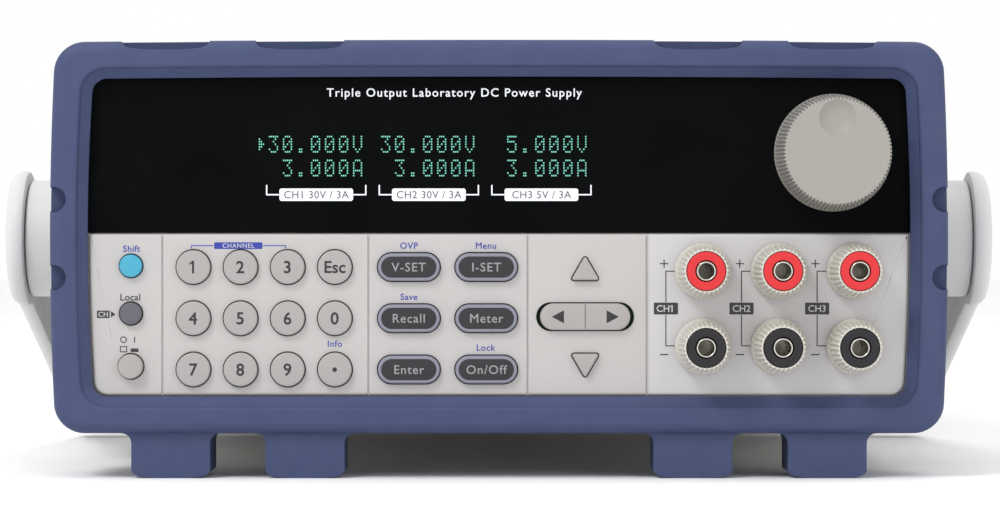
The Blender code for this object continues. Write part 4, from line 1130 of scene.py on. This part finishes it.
def ring_body(name, look, material):
    """The coloured ring in the nut's face, with round edges."""
    low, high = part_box(f"ring_{name}")
    x, z = middle(f"ring_{name}").x, middle(f"ring_{name}").z
    bore = look.tube + 2 * GAP
    profile = [(bore, high.y), (high.x - low.x, high.y)]
    profile += [(high.x - low.x - 2 * inset, low.y + depth) for inset, depth in quarter(0.35 * MM, 4)[::-1]]
    profile += [(bore + 2 * inset, low.y + depth) for inset, depth in quarter(0.25 * MM, 4)[:-1]]
    profile.append((bore, low.y + 0.25 * MM))
    node = f"ring_{name}"
    return piece(f"{node}_body", turned(profile, x, z, 72, ring=True), material, node, [node])


def socket_tubes(look, material, block_material):
    """The six metal sockets with their collars, a dark disc of painted shade at the bottom of each bore, and
    the block that holds them behind the panel.
    """
    low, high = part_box("terminal_block")
    back_y = FACE_Y + PANEL_T + GAP
    piece("terminal_block_body", box((low.x, back_y, low.z), tuple(high)), block_material, "root",
          ["terminal_block"])
    tip = low.y
    # Painted shade: the plating darkened to under half its brightness, standing for the shade deep inside
    # each bore.
    bore_shade = metal("socket_bore_shade", tuple(c * 0.45 for c in look.metal), 0.4, (1.0, 1.0, 1.0))
    for name in POST_NAMES:
        x, z = middle(f"nut_{name}").x, middle(f"nut_{name}").z
        lip = quarter(0.15 * MM, 3)
        profile = [(look.bore, tip + 15.0 * MM)]
        profile += [(look.bore + 2 * inset, tip + depth) for inset, depth in lip[::-1]]
        profile += [(look.tube - 2 * inset, tip + depth) for inset, depth in lip]
        profile += [(look.tube, back_y - 0.05 * MM), (look.bore, back_y - 0.05 * MM)]
        # A disc in that darkened colour closes each bore at its bottom, as painted shade.
        floor = prism(circle(look.bore - 0.1 * MM), tip + 15.0 * MM, tip + 16.0 * MM, x, z)
        piece(f"socket_{name}", turned(profile, x, z, 64, ring=True), material, "root")
        piece(f"socket_{name}_end", floor, bore_shade, "root")


# Handle.
def handle_outline(look, grow=0.0):
    """A disc and a tapering arm that ends round, turned to the stowed angle."""
    along, across = math.cos(look.drop), math.sin(look.drop)
    radius, half = look.disc / 2 + grow, look.arm_end / 2 + grow
    start = math.asin(min(1.0, look.arm / look.disc))
    points = []
    for i in range(57):
        angle = start + (math.tau - 2 * start) * i / 56
        points.append((radius * math.cos(angle), radius * math.sin(angle)))
    for i in range(25):
        angle = -math.pi / 2 + math.pi * i / 24
        points.append((look.reach + half * math.cos(angle), half * math.sin(angle)))
    return [(u * along + v * across, v * along - u * across) for u, v in points]


def handle_body(look, material):
    """The bail: two soft-edged arms, the grip across their ends and the stubs that turn in the hubs."""
    pivot = joint_place("handle_swing")
    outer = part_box("handle")[1].x
    near = outer - look.plate
    solids = []
    for side in (-1, 1):
        rims = [(0.8 * MM, 0.0), (0.24 * MM, 0.24 * MM), (0.0, 0.8 * MM)]
        levels = [(inset, near + depth) for inset, depth in rims]
        levels += [(inset, outer - depth) for inset, depth in quarter(look.edge, 8)[::-1]]
        sections = [along_x(handle_outline(look, -inset), side * x, pivot.y, pivot.z) for inset, x in levels]
        solids.append(loft(sections))
    obj = bare_object("handle_bail", solids[0])
    combine(obj, solids[1], "UNION")
    grip_y = pivot.y + look.reach * math.cos(look.drop)
    grip_z = pivot.z - look.reach * math.sin(look.drop)
    reach = near + look.plate / 2
    grip = loft([along_x(circle(look.grip), x, grip_y, grip_z) for x in (-reach, reach)])
    combine(obj, grip, "UNION")
    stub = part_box("handle_hub_right")[0].x + 5.0 * MM
    for side in (-1, 1):
        pin = loft([along_x(circle(11.4 * MM), side * x, pivot.y, pivot.z) for x in (stub, near + MM)])
        combine(obj, pin, "UNION")
    return piece("handle_bail", obj, material, "handle", ["handle"], 30)


def hub_body(node, side, material):
    """A fixed round hub on the case's side, with a socket for the handle's stub."""
    low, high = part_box(node)
    near, far = (low.x, high.x) if side > 0 else (-high.x, -low.x)
    y, z, size = (low.y + high.y) / 2, (low.z + high.z) / 2, high.z - low.z
    profile = [(12.0 * MM, near + 4.0 * MM), (12.0 * MM, far)]
    profile += [(size - 2.2 * MM, far)]
    profile += [(size - 2 * inset, far - depth) for inset, depth in quarter(0.8 * MM, 6)]
    profile += [(size, near + 0.6 * MM), (size, near)]
    solid = loft([along_x(circle(d, 96), side * x, y, z) for d, x in profile])
    return piece(f"{node}_body", solid, material, "root", [node], 30)


# Case, back and inside.
def case_details(steel, dark):
    """Screws on the case's sides and on the back, and the earth stud beside the inlet."""
    cover_low, cover_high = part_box("top_cover")
    heads = []
    for side in (-1, 1):
        for y in (cover_high.y - 44 * MM, cover_low.y + 158 * MM):
            heads.append(screw_head(Vector((side * cover_high.x, y, MID_Z - 36 * MM)), Vector((side, 0, 0))))
    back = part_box("rear_panel")[1]
    for x, z in ((-99 * MM, 38 * MM), (99 * MM, 38 * MM), (-10 * MM, -38 * MM), (60 * MM, 38 * MM)):
        heads.append(screw_head(Vector((x, back.y, MID_Z + z)), Vector((0, 1, 0))))
    fan = middle("fan_frame")
    for dx in (-36 * MM, 36 * MM):
        for dz in (-36 * MM, 36 * MM):
            heads.append(screw_head(Vector((fan.x + dx, back.y, fan.z + dz)), Vector((0, 1, 0))))
    piece("case_screws", joined(heads), steel, "root")
    x, z = middle("mains_inlet").x - 27 * MM, middle("mains_inlet").z
    stud = turned([(9 * MM, back.y - 0.2 * MM), (9 * MM, back.y + 0.6 * MM), (4 * MM, back.y + 0.6 * MM),
                   (4 * MM, back.y + 3.4 * MM), (3.2 * MM, back.y + 3.9 * MM)], x, z, 32)
    piece("earth_stud", stud, steel, "root")
    low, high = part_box("remote_ports")
    contacts = []
    for i in range(8):
        place = low.x + (high.x - low.x) * 0.25 + (i - 3.5) * 1.02 * MM
        contacts.append(box((place - 0.2 * MM, high.y - 11 * MM, MID_Z + 19.5 * MM),
                            (place + 0.2 * MM, high.y - 2 * MM, MID_Z + 19.8 * MM)))
    piece("network_contacts", joined(contacts), dark, "root")


def screw_head(place, facing):
    """A pan-head screw with a cross recess, seated on a sheet."""
    turn = Vector((0, 0, 1)).rotation_difference(facing).to_matrix()
    rings = [(2.9, -0.1), (2.9, 0.25), (2.6, 0.75), (1.9, 1.15), (0.9, 1.3)]
    sections = []
    for radius, height in rings:
        angles = [math.tau * i / 24 for i in range(24)]
        ring = [(radius * MM * math.cos(a), radius * MM * math.sin(a), height * MM) for a in angles]
        sections.append([place + turn @ Vector(point) for point in ring])
    obj = bare_object("head", loft(sections))
    for length_x, length_y in ((3.0, 0.55), (0.55, 3.0)):
        half_x, half_y = length_x / 2, length_y / 2
        outline = [(half_x, -half_y), (half_x, half_y), (-half_x, half_y), (-half_x, -half_y)]
        slot = [[place + turn @ Vector((u * MM, v * MM, h * MM)) for u, v in outline] for h in (0.6, 2.0)]
        combine(obj, loft(slot), "DIFFERENCE")
    bm = bmesh.new()
    bm.from_mesh(obj.data)
    bpy.data.objects.remove(obj)
    return bm


# Operators: one for each piece or group of like pieces.
def settings():
    return bpy.context.scene


class BUILD_OT_bumpers(Operator):
    """Builds the front and the rear rubber bumper"""

    bl_idname = "bench_supply.bumpers"
    bl_label = "Bumpers"

    def execute(self, context):
        look = settings().bumper_look
        material = rubber("bumper_rubber", look.colour)
        bumper("front_bumper", look, material, FACE_Y, 1)
        bumper("rear_bumper", look, material, REAR_Y, -1)
        return {"FINISHED"}


class BUILD_OT_panel(Operator):
    """Builds the front panel with its printing"""

    bl_idname = "bench_supply.panel"
    bl_label = "Front panel"

    def execute(self, context):
        look = settings().panel_look
        material = moulded("panel_plastic", look.colour, 0.46, 0.08, 2400.0, 0.02, 0.4, look.terminal_colour)
        panel_body(look, settings().key_look, settings().bumper_look, material)
        panel_legends(printed("panel_ink", look.legend), printed("blue_ink", look.shifted_legend),
                      printed("pale_ink", look.terminal_colour))
        return {"FINISHED"}


class BUILD_OT_display(Operator):
    """Finishes the window and builds its printing and its lit characters"""

    bl_idname = "bench_supply.display"
    bl_label = "Display"

    def execute(self, context):
        look = settings().display_look
        dress(["display_window"], glossy("window_acrylic", look.window), 0.0)
        dress(["display_module"], glossy("display_glass", look.window), 0.0)
        window_print(look, printed("window_white", look.white), printed("window_grey", look.grey))
        lit_dots(look, glowing("lit_dots", look.lit, look.strength))
        return {"FINISHED"}


class BUILD_OT_keys(Operator):
    """Builds every key with what is printed on it"""

    bl_idname = "bench_supply.keys"
    bl_label = "Keys"

    def execute(self, context):
        look = settings().key_look
        light = moulded("key_plastic", look.colour, 0.5, 0.06, 2600.0, 0.02, 0.35)
        ink_dark = printed("key_ink", look.print_dark)
        round_keys(look, light, ink_dark)
        oval_keys(look, moulded("oval_rim", look.rim, 0.42, 0.05), moulded("oval_face", look.dark, 0.5, 0.05),
                  printed("key_pale_ink", look.print_light))
        arrow_keys(look, light, ink_dark)
        side_keys(look, (
            ("key_shift", moulded("shift_plastic", look.shift, 0.45, 0.05), "blue_key"),
            ("key_local", moulded("local_plastic", look.local, 0.48, 0.05), "dark_key"),
            ("key_power", moulded("power_plastic", look.power, 0.45, 0.05), "key_plastic"),
        ))
        return {"FINISHED"}


class BUILD_OT_knob(Operator):
    """Builds the knob and finishes its encoder"""

    bl_idname = "bench_supply.knob"
    bl_label = "Knob"

    def execute(self, context):
        look = settings().knob_look
        knob_body(look, moulded("knob_plastic", look.colour, 0.5, 0.05, 2600.0, 0.02, 0.35))
        dress(["encoder_shaft"], metal("shaft_steel", ink(190, 190, 186)))
        dress(["encoder_body"], metal("encoder_metal", ink(205, 205, 208), 0.4), 0.2 * MM)
        return {"FINISHED"}


class BUILD_OT_posts(Operator):
    """Builds the binding posts: the nuts, the coloured rings and the sockets"""

    bl_idname = "bench_supply.posts"
    bl_label = "Binding posts"

    def execute(self, context):
        look = settings().post_look
        cream = moulded("nut_plastic", look.colour, 0.48, 0.05, 2600.0, 0.03, 0.35)
        red = moulded("red_plastic", look.red, 0.42, 0.05, 2600.0, 0.02, 0.35)
        black = moulded("black_plastic", look.black, 0.45, 0.05, 2600.0, 0.03, 0.35)
        for name in POST_NAMES:
            nut_body(name, look, cream)
            positive = name.startswith("positive")
            ring_body(name, look, red if positive else black)
        socket_tubes(look, metal("socket_nickel", look.metal, 0.28, (1.0, 1.0, 1.0)), black)
        return {"FINISHED"}


class BUILD_OT_handle(Operator):
    """Builds the carrying handle and its two hubs"""

    bl_idname = "bench_supply.handle"
    bl_label = "Handle"

    def execute(self, context):
        look = settings().handle_look
        material = moulded("handle_plastic", look.colour, 0.5, 0.1, 1900.0, 0.03, 0.35)
        handle_body(look, material)
        hub_body("handle_hub_left", -1, material)
        hub_body("handle_hub_right", 1, material)
        return {"FINISHED"}


class BUILD_OT_case(Operator):
    """Finishes the case, the back and what is behind them, and adds the screws"""

    bl_idname = "bench_supply.case"
    bl_label = "Case and inside"

    def execute(self, context):
        look = settings().case_look
        paint = sheet_paint("case_paint", look.paint)
        steel = metal("zinc_steel", look.steel, 0.38)
        black = moulded("inlet_plastic", look.black, 0.45, 0.1, 1900.0)
        dress(["top_cover", "rear_panel"], paint, 0.25 * MM)
        dress(["base_chassis", "remote_ports"], steel, 0.2 * MM)
        dress(["transformer"], metal("core_steel", ink(150, 148, 144), 0.5), 0.4 * MM)
        dress(["heatsink"], metal("heatsink_aluminium", ink(200, 200, 204), 0.4), 0.2 * MM)
        dress(["keypad_board", "main_board"], circuit_board("circuit_board", look.board), 0.1 * MM)
        dress(["fan_frame", "fan_rotor", "power_switch", "mains_inlet"], black, 0.25 * MM)
        case_details(steel, metal("contact_gold", ink(222, 184, 96), 0.3))
        return {"FINISHED"}


class BUILD_OT_stage(Operator):
    """Lays the pale floor, and places the lights and the camera"""

    bl_idname = "bench_supply.stage"
    bl_label = "Stage"

    def execute(self, context):
        look = settings().stage_look
        scene = context.scene
        bm = bmesh.new()
        corners = [bm.verts.new((x * 6.0, y * 6.0, 0.0)) for x, y in ((-1, -1), (1, -1), (1, 1), (-1, 1))]
        bm.faces.new(corners)
        floor = bare_object("floor", bm)
        floor.data.materials.append(floor_paint("floor_paint", look.floor))

        world = bpy.data.worlds.new("soft_light")
        world.use_nodes = True
        background = world.node_tree.nodes["Background"]
        background.inputs["Color"].default_value = (*look.sky, 1.0)
        background.inputs["Strength"].default_value = look.world
        scene.world = world
        for name, place, size, power, aim in (
            ("key_light", Vector((-0.7, -1.05, 1.15)), 0.5, look.key, Vector((0, FACE_Y, MID_Z))),
            ("top_light", Vector((0.15, -0.1, 1.5)), 1.2, look.top, Vector((0, 0, MID_Z))),
            ("fill_light", Vector((0.9, -1.3, 0.5)), 0.9, look.fill, Vector((0, FACE_Y, MID_Z))),
        ):
            data = bpy.data.lights.new(name, "AREA")
            data.shape, data.size, data.energy = "DISK", size, power
            light = bpy.data.objects.new(name, data)
            light.location = place
            light.rotation_euler = (aim - place).to_track_quat("-Z", "Y").to_euler()
            scene.collection.objects.link(light)

        data = bpy.data.cameras.new("camera")
        data.lens, data.sensor_width = look.lens, 36.0
        data.shift_x, data.shift_y = look.shift_x, look.shift_y
        data.clip_start = 0.02
        camera = bpy.data.objects.new("camera", data)
        camera.location = (0.0, FACE_Y - look.camera_back, look.camera_up)
        camera.rotation_euler = (math.pi / 2, 0.0, 0.0)
        scene.collection.objects.link(camera)
        scene.camera = camera
        scene.view_settings.view_transform = "Standard"
        return {"FINISHED"}


OPERATORS = (
    BUILD_OT_bumpers, BUILD_OT_panel, BUILD_OT_display, BUILD_OT_keys, BUILD_OT_knob, BUILD_OT_posts,
    BUILD_OT_handle, BUILD_OT_case, BUILD_OT_stage,
)
LOOKS = {
    "bumper_look": BumperLook, "panel_look": PanelLook, "key_look": KeyLook, "knob_look": KnobLook,
    "post_look": PostLook, "display_look": DisplayLook, "handle_look": HandleLook, "case_look": CaseLook,
    "stage_look": StageLook,
}


class BUILD_PT_bench_supply(Panel):
    """Lists the builders of the bench supply's pieces"""

    bl_idname = "BUILD_PT_bench_supply"
    bl_label = "Bench Supply"
    bl_space_type = "VIEW_3D"
    bl_region_type = "UI"
    bl_category = "Bench Supply"

    def draw(self, context):
        column = self.layout.column()
        for operator in OPERATORS:
            column.operator(operator.bl_idname)


def register():
    for kind in (*LOOKS.values(), *OPERATORS, BUILD_PT_bench_supply):
        bpy.utils.register_class(kind)
    for name, kind in LOOKS.items():
        setattr(bpy.types.Scene, name, PointerProperty(type=kind))


def unregister():
    for name in LOOKS:
        delattr(bpy.types.Scene, name)
    for kind in reversed((*LOOKS.values(), *OPERATORS, BUILD_PT_bench_supply)):
        bpy.utils.unregister_class(kind)


def main():
    register()
    for operator in OPERATORS:
        group, name = operator.bl_idname.split(".")
        getattr(getattr(bpy.ops, group), name)()


if __name__ == "__main__":
    main()
